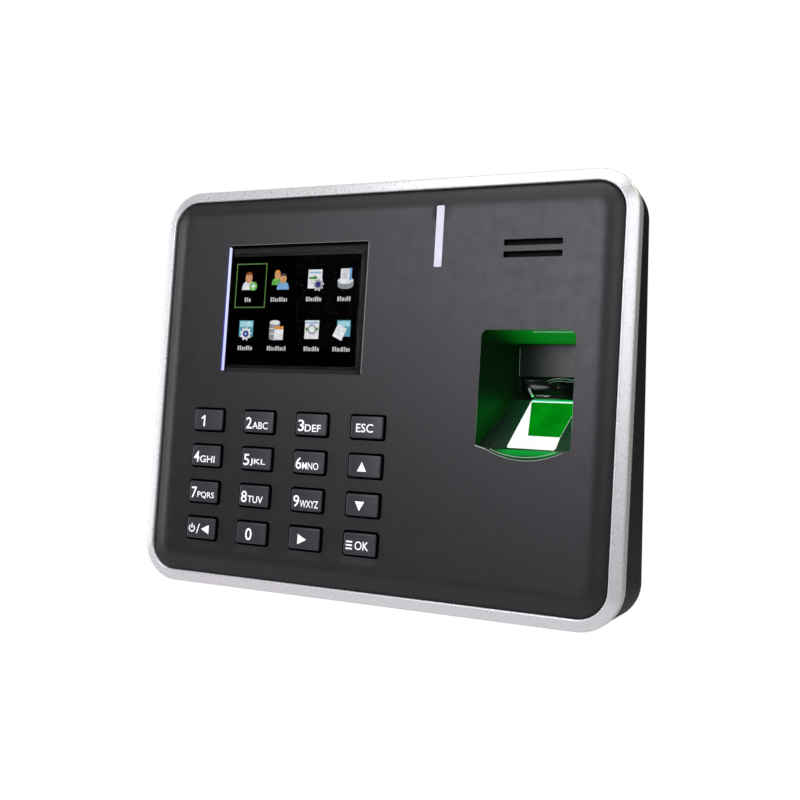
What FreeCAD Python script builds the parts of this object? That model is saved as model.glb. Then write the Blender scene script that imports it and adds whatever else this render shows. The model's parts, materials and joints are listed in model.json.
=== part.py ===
# Wall-mounted fingerprint scanner terminal: a wedge-shaped housing with a silver trim ring, a 2.8 inch
# colour display, a sixteen-key keypad and a finger well, hung on a sheet-steel wall plate.
#
# World frame: the origin is the centre of the wall plate's rear face, +Y points into the wall, +X is to
# the right as the user sees the terminal and +Z is up. Millimetres.
# Face frame: most parts are drawn square to the tilted front, with x to the right, y as the depth behind
# the front surface and z up the face; on_face() turns and moves such a part into the world frame.

import FreeCAD, Part
import math
import os

V = FreeCAD.Vector
X_AXIS = V(1, 0, 0)
Y_AXIS = V(0, 1, 0)
Z_AXIS = V(0, 0, 1)

# ---------------------------------------------------------------- driving dimensions
TILT = 7.8                      # degrees that the front leans back towards the wall at its top
CENTRE_DEPTH = 30.7             # front surface to the housing's rear plane, at mid height
WALL_GAP = 0.5                  # housing's rear plane to the wall
WALL = 2.2                      # moulded wall thickness
FIT_GAP = 0.35                  # gap between the front cover and the trim ring

PANEL_W = 184.0                 # opening of the trim ring
PANEL_H = 147.8
PANEL_R = 10.5
PANEL_T = 2.4
BAND_W = 6.5                    # border of the front cover that falls away
BAND_DROP = 1.35
SKIRT_DEPTH = 8.0
RING_W = 4.4                    # trim ring, measured outwards from its opening
RING_DEPTH = 8.2
SEAL_T = 0.6
HOUSING_INSET = 0.2             # step from the ring's side down to the housing's side
SIDE_WALL = 3.0                 # housing's side walls, which carry the lip that centres the ring
HOUSING_REAR_R = 3.0

LCD_X = -35.5                   # centre of the display's active area
LCD_Z = 29.9
WINDOW = (-64.3, -2.5, 5.3, 55.4)    # x low, x high, z low, z high
LENS_DEPTH = 1.8
LENS_T = 1.0
LENS_LEDGE = 1.8                # how far the lens reaches behind the cover all round
LCD_FRAME_W = 69.2
LCD_FRAME_H = 50.0
LCD_FRAME_DEPTH = 3.2           # depth of the display frame's front
LCD_GLASS_W = 67.6
LCD_GLASS_H = 48.4
LCD_GLASS_DEPTH = 3.6
LCD_GLASS_T = 1.2
BACKLIGHT_T = 1.6
BAR_X = 25.35                   # status light bar
BAR_Z = 56.25
BAR_W = 3.1
BAR_H = 22.5
SPEAKER_X = 60.65
SPEAKER_Z = 50.9
SLOT_W = 21.1
SLOT_H = 2.15
SLOT_PITCH = 4.2

KEY_W = 13.1
KEY_H = 8.0
KEY_PROUD = 1.1
KEY_GAP = 0.8                   # gap round each key in the cover
KEY_TRAVEL = 1.0
KEY_X0 = -67.8
KEY_Z0 = -13.9
KEY_PITCH_X = 23.16
KEY_PITCH_Z = 14.18
KEY_FLANGE = 1.6                # how far the retaining flange stands out behind the cover
KEYS = (
    ("key_1", "key_2", "key_3", "key_esc"),
    ("key_4", "key_5", "key_6", "key_up"),
    ("key_7", "key_8", "key_9", "key_down"),
    ("key_power_left", "key_0", "key_right", "key_menu_ok"),
)
MAT_TOP = 4.9                   # depth of the rubber collars' tops
MAT_BASE = 6.1
KEYPAD_BOARD = 6.9              # depth of the keypad board's front
KEYPAD_BOARD_T = 1.2
KEYPAD_POSTS = ((-56.5, -21.0), (-10.2, -21.0), (-56.5, -49.3), (-10.2, -49.3))

WELL_L = 43.5                   # finger opening in the front surface
WELL_R = 77.6
WELL_TOP = 22.5
WELL_SILL = -18.9
WELL_BULGE = -22.6              # lowest point of the curved lower edge
WELL_BACK = 19.2                # depth of the back wall
WELL_T = 1.5
FLOOR_START = (1.2, -18.9)      # sloping floor, as (depth, z)
FLOOR_END = (16.5, -0.6)
PRISM_L = 54.5
PRISM_R = 72.3
WELL_SCREWS = ((41.2, 26.8), (79.9, 26.8), (41.2, -25.6), (79.9, -25.6))
MODULE_BOTTOM = -46.0           # z of the light chamber's lower end, where the camera board closes it

BOARD_DEPTH = 12.0              # depth of the main board's front
BOARD_T = 1.6
BOARD_SCREWS = ((-76.0, 50.0), (35.0, 36.0), (-76.0, -1.0), (30.0, -50.0))
CASE_SCREW_X = 82.0
CASE_SCREW_Z = 64.0
CASE_POST_END = 12.0            # depth of the cover's case posts
CASE_SCREW_SEAT = 16.0          # depth of the shoulders that the case screws pull on
SOCKET_MOUTH = -33.0            # z of the socket mouths, in the face frame
SOCKET_FIT = 0.3                # gap between a socket and its hole
# name: x of the middle, depth of the front, width across x, thickness in depth
SOCKETS = {
    "ethernet_jack": (-32.0, BOARD_DEPTH + BOARD_T, 16.0, 11.8),
    "power_jack": (-14.0, BOARD_DEPTH + BOARD_T, 9.0, 11.0),
    "terminal_block": (11.0, BOARD_DEPTH + BOARD_T, 24.0, 8.5),
}
USB = (58.0, BOARD_DEPTH + BOARD_T, 14.2, 7.0)
CLAMP_PITCH = 3.81              # wire clamps of the terminal block
CELL_X = 22.0                   # coin cell
CELL_Z = -8.0

PLATE_W = 120.0                 # wall plate
PLATE_H = 116.0
PLATE_T = 1.5
PLATE_HOLE_R = 2.25
PLATE_HOLES_X = 80.0
PLATE_HOLES_Z = 84.0
HOOK_X = 52.0
HOOK_ZS = (40.0, -14.0)
HOOK_W = 10.0
HOOK_T = 2.0
HOOK_RISE = 7.0
LIFT = 8.0                      # travel that frees the terminal from the hooks
RECESS = 5.0                    # depth from the wall to the recessed part of the housing's back
BAY = (-46.0, 34.0, -74.5, -34.0)    # cable bay: x low, x high, z low, z high
BAY_Y = -20.2
BAY_T = 1.8
BAY_DEEP = 15.6                 # depth of the bay's deeper floor, square to the sockets, in the face frame
BAY_DEEP_X = 22.0               # x where the deeper floor ends
BARREL_RISE = 6.5               # power socket's axis above the main board
TONGUE_W = 18.0
TONGUE_Z = -66.0
LOCK_Y = -6.0
LOCK_R = 1.5
TAMPER_X = -6.0                 # spring-loaded tamper plunger, in the world frame
TAMPER_Z = 14.0
PLUNGER_R = 2.0
PLUNGER_GUIDE = 2.0
PLUNGER_HEAD = 1.2
PLUNGER_FACE_Z = 12.2           # where the plunger's axis meets the main board, in the face frame

ORIGIN_Y = -WALL_GAP - CENTRE_DEPTH * math.cos(math.radians(TILT))
ORIGIN_Z = CENTRE_DEPTH * math.sin(math.radians(TILT))


# ---------------------------------------------------------------- helpers
def on_face(shape):
    """Turn and move a shape from the face frame into the world frame."""
    placed = shape.copy()
    placed.rotate(V(0, 0, 0), X_AXIS, -TILT)
    placed.translate(V(0, ORIGIN_Y, ORIGIN_Z))
    return placed


def block(x0, x1, y0, y1, z0, z1):
    """Plain box between two corners."""
    return Part.makeBox(x1 - x0, y1 - y0, z1 - z0, V(x0, y0, z0))


def joined(shapes):
    """Fuse shapes that touch into one clean solid."""
    return shapes[0].multiFuse(shapes[1:]).removeSplitter()


def path_wire(start, steps, place):
    """Closed wire: a step of two numbers is a line's end, one of four is an arc's middle and end."""
    edges = []
    here = start
    for step in steps + [start]:
        end = tuple(step[-2:])
        if len(step) == 4:
            edges.append(Part.Arc(place(*here), place(*step[:2]), place(*end)).toShape())
        elif end != tuple(here):
            edges.append(Part.LineSegment(place(*here), place(*end)).toShape())
        here = end
    return Part.Wire(edges)


def outline_prism(start, steps, y0, y1):
    """Prism of an outline drawn in x and z, from depth y0 to depth y1."""
    wire = path_wire(start, steps, lambda x, z: V(x, y0, z))
    return Part.Face(wire).extrude(V(0, y1 - y0, 0))


def section_prism(start, steps, x0, x1):
    """Prism of a section drawn in depth and z, from x0 to x1."""
    wire = path_wire(start, steps, lambda y, z: V(x0, y, z))
    return Part.Face(wire).extrude(V(x1 - x0, 0, 0))


def slab(cx, cz, w, h, r, y0, y1):
    """Rounded rectangle, w by h, centred at cx and cz, from depth y0 to depth y1."""
    a = w / 2
    b = h / 2
    k = r * (1 - math.sqrt(0.5))
    steps = [
        (cx + a - r, cz - b),
        (cx + a - k, cz - b + k, cx + a, cz - b + r),
        (cx + a, cz + b - r),
        (cx + a - k, cz + b - k, cx + a - r, cz + b),
        (cx - a + r, cz + b),
        (cx - a + k, cz + b - k, cx - a, cz + b - r),
        (cx - a, cz - b + r),
        (cx - a + k, cz - b + k, cx - a + r, cz - b),
    ]
    return outline_prism((cx - a + r, cz - b), steps, y0, y1)


def rod(x, z, r, y0, y1):
    """Cylinder along the depth axis."""
    return Part.makeCylinder(r, y1 - y0, V(x, y0, z), Y_AXIS)


def upright(x, y, r, z0, z1):
    """Cylinder along z."""
    return Part.makeCylinder(r, z1 - z0, V(x, y, z0), Z_AXIS)


def ring_band(start, steps, w, h, r):
    """Moulding round a rounded rectangle; its section is in outward offset and depth."""
    run_x = w / 2 - r
    run_z = h / 2 - r
    pieces = []
    for side in (1, -1):
        upright_wire = path_wire(start, steps, lambda o, d: V(side * (w / 2 + o), d, -run_z))
        pieces.append(Part.Face(upright_wire).extrude(V(0, 0, 2 * run_z)))
        level_wire = path_wire(start, steps, lambda o, d: V(-run_x, d, side * (h / 2 + o)))
        pieces.append(Part.Face(level_wire).extrude(V(2 * run_x, 0, 0)))
        for end in (1, -1):
            centre = V(side * run_x, 0, end * run_z)
            wire = path_wire(start, steps, lambda o, d: centre + V(side * (r + o), d, 0))
            pieces.append(Part.Face(wire).revolve(centre, Y_AXIS, -90 * side * end))
    return joined(pieces)


def edges_at_depth(shape, depth):
    """Edges of a shape that lie wholly at one depth."""
    found = []
    for edge in shape.Edges:
        box = edge.BoundBox
        if abs(box.YMin - depth) < 0.01 and abs(box.YMax - depth) < 0.01:
            found.append(edge)
    return found


def screw(x, z, seat, head_r, head_h, shank_r, length):
    """Pan-head screw driven towards the front; its head seats at one depth."""
    head = rod(x, z, head_r, seat, seat + head_h)
    head = head.makeFillet(head_h * 0.35, edges_at_depth(head, seat + head_h))
    cross = block(x - head_r * 0.55, x + head_r * 0.55, seat + head_h * 0.4, seat + head_h, z - 0.3, z + 0.3)
    bar = block(x - 0.3, x + 0.3, seat + head_h * 0.4, seat + head_h, z - head_r * 0.55, z + head_r * 0.55)
    shank = rod(x, z, shank_r, seat - length, seat)
    return joined([head, shank]).cut(cross).cut(bar)


def key_centres():
    """Name and centre of every key, from the top left."""
    for row, names in enumerate(KEYS):
        for column, name in enumerate(names):
            yield name, KEY_X0 + column * KEY_PITCH_X, KEY_Z0 - row * KEY_PITCH_Z


def well_outline(grow):
    """Start and steps of the finger opening in the front surface, grown outwards by grow."""
    left = WELL_L - grow
    right = WELL_R + grow
    top = WELL_TOP + grow
    sill = WELL_SILL - grow
    middle = (left + right) / 2
    r = 2.5
    k = r * (1 - math.sqrt(0.5))
    steps = [
        (left + 4.0, sill - 0.4),
        (middle, WELL_BULGE - grow, right - 3.0, sill - 0.4),
        (right, sill + 0.6),
        (right, top - r),
        (right - k, top - k, right - r, top),
        (left + r, top),
        (left + k, top - k, left, top - r),
    ]
    return (left, sill + 0.6), steps


# ---------------------------------------------------------------- outer shells
def make_front_cover():
    edge = -FIT_GAP
    crease = -BAND_W
    inside = -BAND_W - 2.0
    band = ring_band(
        (inside, 0.0),
        [
            (crease - 0.6, 0.0),
            (crease, 0.04, crease + 0.6, 0.16),
            (edge - 0.5, BAND_DROP),
            (edge - 0.15, BAND_DROP + 0.15, edge, BAND_DROP + 0.5),
            (edge, SKIRT_DEPTH),
            (edge - 2.0, SKIRT_DEPTH),
            (edge - 2.0, PANEL_T + 1.2),
            (edge - 3.2, PANEL_T),
            (inside, PANEL_T),
        ],
        PANEL_W, PANEL_H, PANEL_R)
    centre = slab(0, 0, PANEL_W + 2 * inside, PANEL_H + 2 * inside, PANEL_R + inside, 0, PANEL_T)
    cover = joined([band, centre])

    posts = []
    for x, z in BOARD_SCREWS:
        posts.append(rod(x, z, 3.0, PANEL_T - 0.2, BOARD_DEPTH))
    for x, z in KEYPAD_POSTS:
        posts.append(rod(x, z, 1.9, PANEL_T - 0.2, KEYPAD_BOARD))
    for sx in (1, -1):
        for sz in (1, -1):
            posts.append(rod(sx * CASE_SCREW_X, sz * CASE_SCREW_Z, 3.6, PANEL_T - 0.2, CASE_POST_END))
    low_x, high_x, low_z, high_z = WINDOW
    window_x = (low_x + high_x) / 2
    window_z = (low_z + high_z) / 2
    window_w = high_x - low_x
    window_h = high_z - low_z
    frame = slab(window_x, window_z, window_w + 7.0, window_h + 7.0, 2.5, PANEL_T - 0.2, LENS_DEPTH + LENS_T)
    cover = joined([cover, frame] + posts)

    holes = [
        slab(window_x, window_z, window_w, window_h, 1.0, -1, 6),
        slab(window_x, window_z, window_w + 4.0, window_h + 4.0, 2.0, LENS_DEPTH, 6),
        slab(BAR_X, BAR_Z, BAR_W, BAR_H, 0.5, -1, 6),
        outline_prism(*well_outline(0), -1, 6),
    ]
    for side in (1, -1):
        holes.append(slab(SPEAKER_X, SPEAKER_Z + side * SLOT_PITCH / 2, SLOT_W, SLOT_H, 0.5, -1, 6))
    for name, x, z in key_centres():
        holes.append(slab(x, z, KEY_W + 2 * KEY_GAP, KEY_H + 2 * KEY_GAP, 1.2, -1, 6))
    for x, z in BOARD_SCREWS:
        holes.append(rod(x, z, 1.25, 4.0, 20))
    for x, z in KEYPAD_POSTS:
        holes.append(rod(x, z, 1.0, 3.2, 20))
    for x, z in WELL_SCREWS:
        holes.append(rod(x, z, 0.95, 1.0, 6))
    for sx in (1, -1):
        for sz in (1, -1):
            holes.append(rod(sx * CASE_SCREW_X, sz * CASE_SCREW_Z, 1.5, 4.0, 20))
    return cover.cut(Part.makeCompound(holes))


def make_bezel_trim():
    side = RING_W
    return ring_band(
        (0.0, 1.15),
        [
            (0.35, 0.8, 0.8, 1.0),
            (side - 0.9, 2.35),
            (side - 0.2, 2.75, side, 3.6),
            (side, RING_DEPTH),
            (2.2, RING_DEPTH),
            (2.2, 5.5),
            (0.0, 5.5),
        ],
        PANEL_W, PANEL_H, PANEL_R)


def make_perimeter_seal():
    inner = 2.3
    outer = RING_W - HOUSING_INSET - 0.2
    end = RING_DEPTH + SEAL_T
    return ring_band((inner, RING_DEPTH), [(outer, RING_DEPTH), (outer, end), (inner, end)],
                     PANEL_W, PANEL_H, PANEL_R)


def case_post_cuts():
    """Screw hole and counterbore of the four case posts, in the face frame."""
    cuts = []
    for sx in (1, -1):
        for sz in (1, -1):
            cuts.append(rod(sx * CASE_SCREW_X, sz * CASE_SCREW_Z, 1.7, 10, 60))
            cuts.append(rod(sx * CASE_SCREW_X, sz * CASE_SCREW_Z, 3.4, CASE_SCREW_SEAT, 60))
    return cuts


def socket_hole(x, depth, w, t, z0, z1):
    """Hole that a socket's body fills with a small gap, from z0 to z1."""
    half = w / 2 + SOCKET_FIT
    return block(x - half, x + half, depth - SOCKET_FIT, depth + t + SOCKET_FIT, z0, z1)


def deep_bay(x0, x1, depth, z0, z1):
    """Space of the cable bay behind a floor that lies square to the sockets."""
    behind = on_face(block(x0, x1, depth, 60, -120, 120))
    return behind.common(block(x0 - 1, x1 + 1, -80, 5, z0, z1))


def make_rear_housing():
    rim = RING_DEPTH + SEAL_T
    offset = RING_W - HOUSING_INSET
    rear = -WALL_GAP
    front_side = block(-120, 120, -80, rear, -120, 120)
    outer = on_face(slab(0, 0, PANEL_W + 2 * offset, PANEL_H + 2 * offset, PANEL_R + offset, rim, 60))
    outer = outer.common(front_side)
    outer = outer.makeFillet(HOUSING_REAR_R, edges_at_depth(outer, rear))

    inset = offset - SIDE_WALL
    cavity = on_face(slab(0, 0, PANEL_W + 2 * inset, PANEL_H + 2 * inset, PANEL_R + inset, rim - 1, 60))
    cavity = cavity.common(block(-120, 120, -80, rear - WALL, -120, 120))

    half = PLATE_W / 2 + 1.5
    low = -PLATE_H / 2 - LIFT - 1.0
    high = PLATE_H / 2 + 1.0
    recess = block(-half, half, -RECESS, 5, low, high)
    recess_walls = block(-half - WALL, half + WALL, -RECESS - WALL, 5, low - WALL, high + WALL)
    x0, x1, z0, z1 = BAY
    bay = joined([
        block(x0, x1, BAY_Y, 5, z0, z1),
        deep_bay(x0, BAY_DEEP_X, BAY_DEEP, z0, z1),
    ])
    bay_walls = joined([
        block(x0 - WALL, x1 + WALL, BAY_Y - BAY_T, 5, z0 - 12, z1 + WALL),
        deep_bay(x0 - WALL, BAY_DEEP_X + WALL, BAY_DEEP - BAY_T, z0 - 12, z1 + WALL),
    ])
    cavity = cavity.cut(recess_walls).cut(bay_walls)

    lip = on_face(ring_band((0.2, 5.8), [(1.9, 5.8), (1.9, rim + 1.7), (0.2, rim + 1.7)],
                            PANEL_W, PANEL_H, PANEL_R))
    shell = outer.cut(cavity).cut(recess).cut(bay)
    posts = []
    for sx in (1, -1):
        for sz in (1, -1):
            post = on_face(rod(sx * CASE_SCREW_X, sz * CASE_SCREW_Z, 4.4, CASE_POST_END + 0.3, 60))
            posts.append(post.common(block(-120, 120, -80, rear - 0.1, -120, 120)))
    posts.append(rod(TAMPER_X, TAMPER_Z, 3.6, -RECESS - WALL - PLUNGER_GUIDE, -RECESS - 0.5))
    shell = joined([shell, lip] + posts)

    cuts = [on_face(cut) for cut in case_post_cuts()]
    for sx in (1, -1):
        for hook_z in HOOK_ZS:
            low = hook_z - LIFT - 0.3
            cuts.append(block(sx * HOOK_X - HOOK_W / 2 - 0.6, sx * HOOK_X + HOOK_W / 2 + 0.6,
                              -RECESS - WALL - 1, 0, low, hook_z + HOOK_T + 0.15))
    cuts.append(upright(0, LOCK_Y, LOCK_R + 0.25, -90, BAY[2] + 1))
    cuts.append(upright(0, LOCK_Y, 3.2, -90, -76.2))
    cuts.append(rod(TAMPER_X, TAMPER_Z, PLUNGER_R + 0.1, -30, 0))
    for x, depth, w, t in SOCKETS.values():
        cuts.append(on_face(socket_hole(x, depth, w, t, SOCKET_MOUTH - 9, SOCKET_MOUTH + 9)))
    cuts.append(on_face(socket_hole(*USB, -90, -70)))
    return shell.cut(Part.makeCompound(cuts))


# ---------------------------------------------------------------- wall plate and lock screw
def make_wall_plate():
    plate = slab(0, 0, PLATE_W, PLATE_H, 4.0, -PLATE_T, 0)
    tongue = block(-TONGUE_W / 2, TONGUE_W / 2, -PLATE_T, 0, TONGUE_Z, -PLATE_H / 2 + 2)
    tab = block(-TONGUE_W / 2, TONGUE_W / 2, -10.0, 0, TONGUE_Z, TONGUE_Z + PLATE_T)
    pieces = [plate, tongue, tab]
    tip = -RECESS - WALL - 1.8
    lip_y = -RECESS - WALL - 0.3
    for sx in (1, -1):
        for hook_z in HOOK_ZS:
            x0 = sx * HOOK_X - HOOK_W / 2
            x1 = sx * HOOK_X + HOOK_W / 2
            pieces.append(block(x0, x1, tip, -PLATE_T / 2, hook_z, hook_z + HOOK_T))
            pieces.append(block(x0, x1, tip, lip_y, hook_z, hook_z + HOOK_RISE))
    plate = joined(pieces)
    cuts = [
        slab(-6.0, -46.0, 60.0, 16.0, 3.0, -5, 5),
        slab(0.0, 34.0, 50.0, 24.0, 4.0, -5, 5),
        upright(0, LOCK_Y, LOCK_R + 0.05, TONGUE_Z - 5, TONGUE_Z + 5),
    ]
    for sx in (1, -1):
        for sz in (1, -1):
            cuts.append(rod(sx * PLATE_HOLES_X / 2, sz * PLATE_HOLES_Z / 2, PLATE_HOLE_R, -5, 5))
    return plate.cut(Part.makeCompound(cuts))


def make_lock_screw():
    head_top = -76.5
    head = upright(0, LOCK_Y, 2.7, head_top - 1.6, head_top)
    shank = upright(0, LOCK_Y, LOCK_R, head_top, TONGUE_Z + 2.5)
    screw_body = joined([head, shank])
    socket = upright(0, LOCK_Y, 0.9, head_top - 2, head_top - 0.5)
    return screw_body.cut(socket)


# ---------------------------------------------------------------- display
def make_lens_window():
    low_x, high_x, low_z, high_z = WINDOW
    return slab((low_x + high_x) / 2, (low_z + high_z) / 2,
                high_x - low_x + 2 * LENS_LEDGE, high_z - low_z + 2 * LENS_LEDGE,
                1.8, LENS_DEPTH, LENS_DEPTH + LENS_T)


def make_lens_gasket():
    back = LENS_DEPTH + LENS_T
    outer = slab(LCD_X, LCD_Z, 64.6, 49.6, 2.0, back, back + 0.4)
    return outer.cut(slab(LCD_X, LCD_Z, 60.0, 45.6, 1.0, back - 1, back + 1))


def make_lcd_frame():
    end = LCD_GLASS_DEPTH + LCD_GLASS_T + BACKLIGHT_T + 0.2
    outer = slab(LCD_X, LCD_Z, LCD_FRAME_W, LCD_FRAME_H, 1.0, LCD_FRAME_DEPTH, end)
    tray = slab(LCD_X, LCD_Z, LCD_FRAME_W - 1.0, LCD_FRAME_H - 1.0, 0.6, LCD_GLASS_DEPTH, end + 1)
    return outer.cut(tray).cut(slab(LCD_X, LCD_Z, 58.6, 44.2, 0.4, 3, 4))


def make_lcd_glass():
    return slab(LCD_X, LCD_Z, LCD_GLASS_W, LCD_GLASS_H, 0.4, LCD_GLASS_DEPTH, LCD_GLASS_DEPTH + LCD_GLASS_T)


def make_lcd_backlight():
    front = LCD_GLASS_DEPTH + LCD_GLASS_T
    return slab(LCD_X, LCD_Z, LCD_GLASS_W, LCD_GLASS_H, 0.4, front, front + BACKLIGHT_T)


def make_lcd_flex():
    """Flat flex from the display's lower edge back to the main board."""
    width = 24.0
    low = LCD_Z - LCD_GLASS_H / 2
    front = LCD_GLASS_DEPTH + LCD_GLASS_T + BACKLIGHT_T
    section = [
        (front, low + 8.0),
        (front + 0.2, low + 8.0),
        (front + 0.2, low + 3.0),
        (BOARD_DEPTH - 1.0, low + 3.0),
        (BOARD_DEPTH - 1.0, low + 2.8),
        (front, low + 2.8),
    ]
    return section_prism(section[0], section[1:], LCD_X - width / 2, LCD_X + width / 2)


# ---------------------------------------------------------------- status light and sound
def make_status_light_pipe():
    bar = slab(BAR_X, BAR_Z, BAR_W - 0.16, BAR_H - 0.16, 0.45, 0.15, PANEL_T)
    flange = slab(BAR_X, BAR_Z, BAR_W + 2.4, BAR_H + 2.4, 0.6, PANEL_T, PANEL_T + 1.0)
    return joined([bar, flange])


def status_led_depth():
    return PANEL_T + 1.9


def make_status_leds():
    depth = status_led_depth()
    leds = []
    for step in (-1, 0, 1):
        leds.append(slab(BAR_X, BAR_Z + step * 7.0, 2.8, 3.5, 0.2, depth, depth + 1.6))
    return Part.makeCompound(leds)


def make_status_led_board():
    depth = status_led_depth() + 1.6
    return slab(BAR_X, BAR_Z, 8.0, 27.0, 0.8, depth, depth + 1.0)


def make_speaker_gasket():
    ring = rod(SPEAKER_X, SPEAKER_Z, 14.5, PANEL_T, PANEL_T + 0.8)
    return ring.cut(rod(SPEAKER_X, SPEAKER_Z, 12.2, 0, 6))


def make_speaker():
    front = PANEL_T + 0.8
    basket = rod(SPEAKER_X, SPEAKER_Z, 14.0, front, front + 1.6)
    cone = Part.makeCone(11.5, 5.0, 1.2, V(SPEAKER_X, front - 0.01, SPEAKER_Z), Y_AXIS)
    neck = Part.makeCone(13.0, 9.0, 2.0, V(SPEAKER_X, front + 1.6, SPEAKER_Z), Y_AXIS)
    magnet = rod(SPEAKER_X, SPEAKER_Z, 8.5, front + 3.6, front + 6.2)
    return joined([basket, neck, magnet]).cut(cone)


# ---------------------------------------------------------------- fingerprint sensor
def floor_point(along, below):
    """Depth and z of a point along the sloping floor, and below it square to the slope."""
    rise = FLOOR_END[1] - FLOOR_START[1]
    run = FLOOR_END[0] - FLOOR_START[0]
    length = math.hypot(rise, run)
    depth = FLOOR_START[0] + (run * along + rise * below) / length
    return (depth, FLOOR_START[1] + (rise * along - run * below) / length)


def well_space(grow):
    """The finger space, or with grow the outside of the well's walls."""
    low = floor_point(0, grow)
    high = floor_point(23.85, grow)
    back = WELL_BACK + grow
    top = WELL_TOP + grow
    side = section_prism(
        (-1.0, low[1] - 2.0),
        [
            low,
            high,
            ((high[0] + back) / 2 + 0.6, high[1] + 2.6, back, 8.0),
            (back, top - 3.0),
            (-1.0, top),
        ],
        WELL_L - 10, WELL_R + 10)
    taper = path_wire(
        (WELL_L - grow - 0.4, -1.0),
        [(WELL_R + grow + 0.1, -1.0), (WELL_R + grow - 2.0, back + 1), (WELL_L + 8.9 - grow, back + 1)],
        lambda x, y: V(x, y, -60))
    return side.common(Part.Face(taper).extrude(V(0, 0, 120)))


def make_sensor_well():
    behind_cover = block(30, 90, PANEL_T, 40, -60, 60)
    walls = well_space(WELL_T).common(behind_cover)
    flange_x = (WELL_SCREWS[0][0] + WELL_SCREWS[1][0]) / 2
    flange_z = (WELL_SCREWS[0][1] + WELL_SCREWS[2][1]) / 2
    flange_w = WELL_SCREWS[1][0] - WELL_SCREWS[0][0] + 5.0
    flange_h = WELL_SCREWS[0][1] - WELL_SCREWS[2][1] + 5.0
    flange = slab(flange_x, flange_z, flange_w, flange_h, 2.0, PANEL_T, PANEL_T + WELL_T)
    collar = outline_prism(*well_outline(-0.1), 0.5, PANEL_T)
    well = joined([walls, flange, collar])
    platen = section_prism(
        floor_point(0.6, -1), [floor_point(23.2, -1), floor_point(23.2, 4), floor_point(0.6, 4)],
        PRISM_L - 0.1, PRISM_R + 0.1)
    well = well.cut(well_space(0)).cut(platen)
    return well.cut(Part.makeCompound([rod(x, z, 1.2, 0, 6) for x, z in WELL_SCREWS]))


def make_sensor_prism():
    outline = [
        floor_point(0.8, 0.0),
        floor_point(23.0, 0.0),
        floor_point(23.0, 3.0),
        floor_point(13.0, 12.0),
        floor_point(11.0, 12.0),
        floor_point(0.8, 3.0),
    ]
    return section_prism(outline[0], outline[1:], PRISM_L, PRISM_R)


def make_sensor_module_housing():
    outer = [
        floor_point(0.0, WELL_T + 0.1),
        floor_point(24.6, WELL_T + 0.1),
        floor_point(24.6, 4.2),
        (22.4, -17.0),
        (21.5, MODULE_BOTTOM),
        (7.5, MODULE_BOTTOM),
        (7.5, -28.0),
        floor_point(0.0, 4.0),
    ]
    inner = [
        floor_point(0.6, 0.0),
        floor_point(23.2, 0.0),
        floor_point(23.2, 3.2),
        (20.9, -17.6),
        (20.0, MODULE_BOTTOM - 1),
        (9.0, MODULE_BOTTOM - 1),
        (9.0, -27.2),
        floor_point(0.6, 3.2),
    ]
    body = section_prism(outer[0], outer[1:], PRISM_L - 2.5, PRISM_R + 2.5)
    body = body.cut(section_prism(inner[0], inner[1:], PRISM_L - 0.2, PRISM_R + 0.2))
    behind_flange = block(30, 90, PANEL_T + WELL_T + 0.1, 40, -60, 60)
    return body.cut(well_space(WELL_T + 0.1)).common(behind_flange)


def make_sensor_led_board():
    """Small board with the green lamps, on the front wall of the light chamber."""
    board = block(PRISM_L + 0.5, PRISM_R - 0.5, 9.2, 10.2, -42.0, -29.0)
    lamps = []
    for step in (-1, 0, 1):
        x = (PRISM_L + PRISM_R) / 2 + step * 5.0
        lamps.append(block(x - 1.4, x + 1.4, 10.2, 11.4, -33.5, -30.5))
    return joined([board] + lamps)


def make_sensor_camera_board():
    return block(PRISM_L - 2.5, PRISM_R + 2.5, 7.5, 21.5, MODULE_BOTTOM - 1.2, MODULE_BOTTOM)


def make_sensor_lens():
    x = (PRISM_L + PRISM_R) / 2
    barrel = upright(x, 15.2, 4.2, MODULE_BOTTOM, MODULE_BOTTOM + 7.0)
    glass_seat = upright(x, 15.2, 2.6, MODULE_BOTTOM + 5.5, MODULE_BOTTOM + 8.0)
    return barrel.cut(glass_seat)


def make_sensor_cable():
    """Flat cable from the camera board across to the edge of the main board."""
    x0 = 36.8
    low = MODULE_BOTTOM - 5.0
    high = MODULE_BOTTOM - 1.2
    across = block(x0, PRISM_L + 3.5, 16.0, 16.3, low, high)
    down = block(x0, x0 + 2.8, BOARD_DEPTH + BOARD_T, 16.1, low, high)
    return joined([across, down])


# ---------------------------------------------------------------- keypad
def make_key(x, z):
    cap = slab(x, z, KEY_W, KEY_H, 0.8, -KEY_PROUD, PANEL_T + 0.6)
    cap = cap.makeFillet(0.45, edges_at_depth(cap, -KEY_PROUD))
    flange = slab(x, z, KEY_W + 2 * KEY_FLANGE, KEY_H + 2 * KEY_FLANGE, 0.8, PANEL_T + 0.5, PANEL_T + 1.3)
    stem = slab(x, z, 6.0, 4.0, 0.5, PANEL_T + 1.2, 5.5)
    return joined([cap, flange, stem])


def keypad_plate(depth0, depth1):
    """Rounded plate behind the whole keypad."""
    centre_x = KEY_X0 + 1.5 * KEY_PITCH_X
    centre_z = KEY_Z0 - 1.5 * KEY_PITCH_Z
    return slab(centre_x, centre_z, 3 * KEY_PITCH_X + KEY_W + 5.0, 3 * KEY_PITCH_Z + KEY_H + 5.0, 2.0,
                depth0, depth1)


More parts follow.
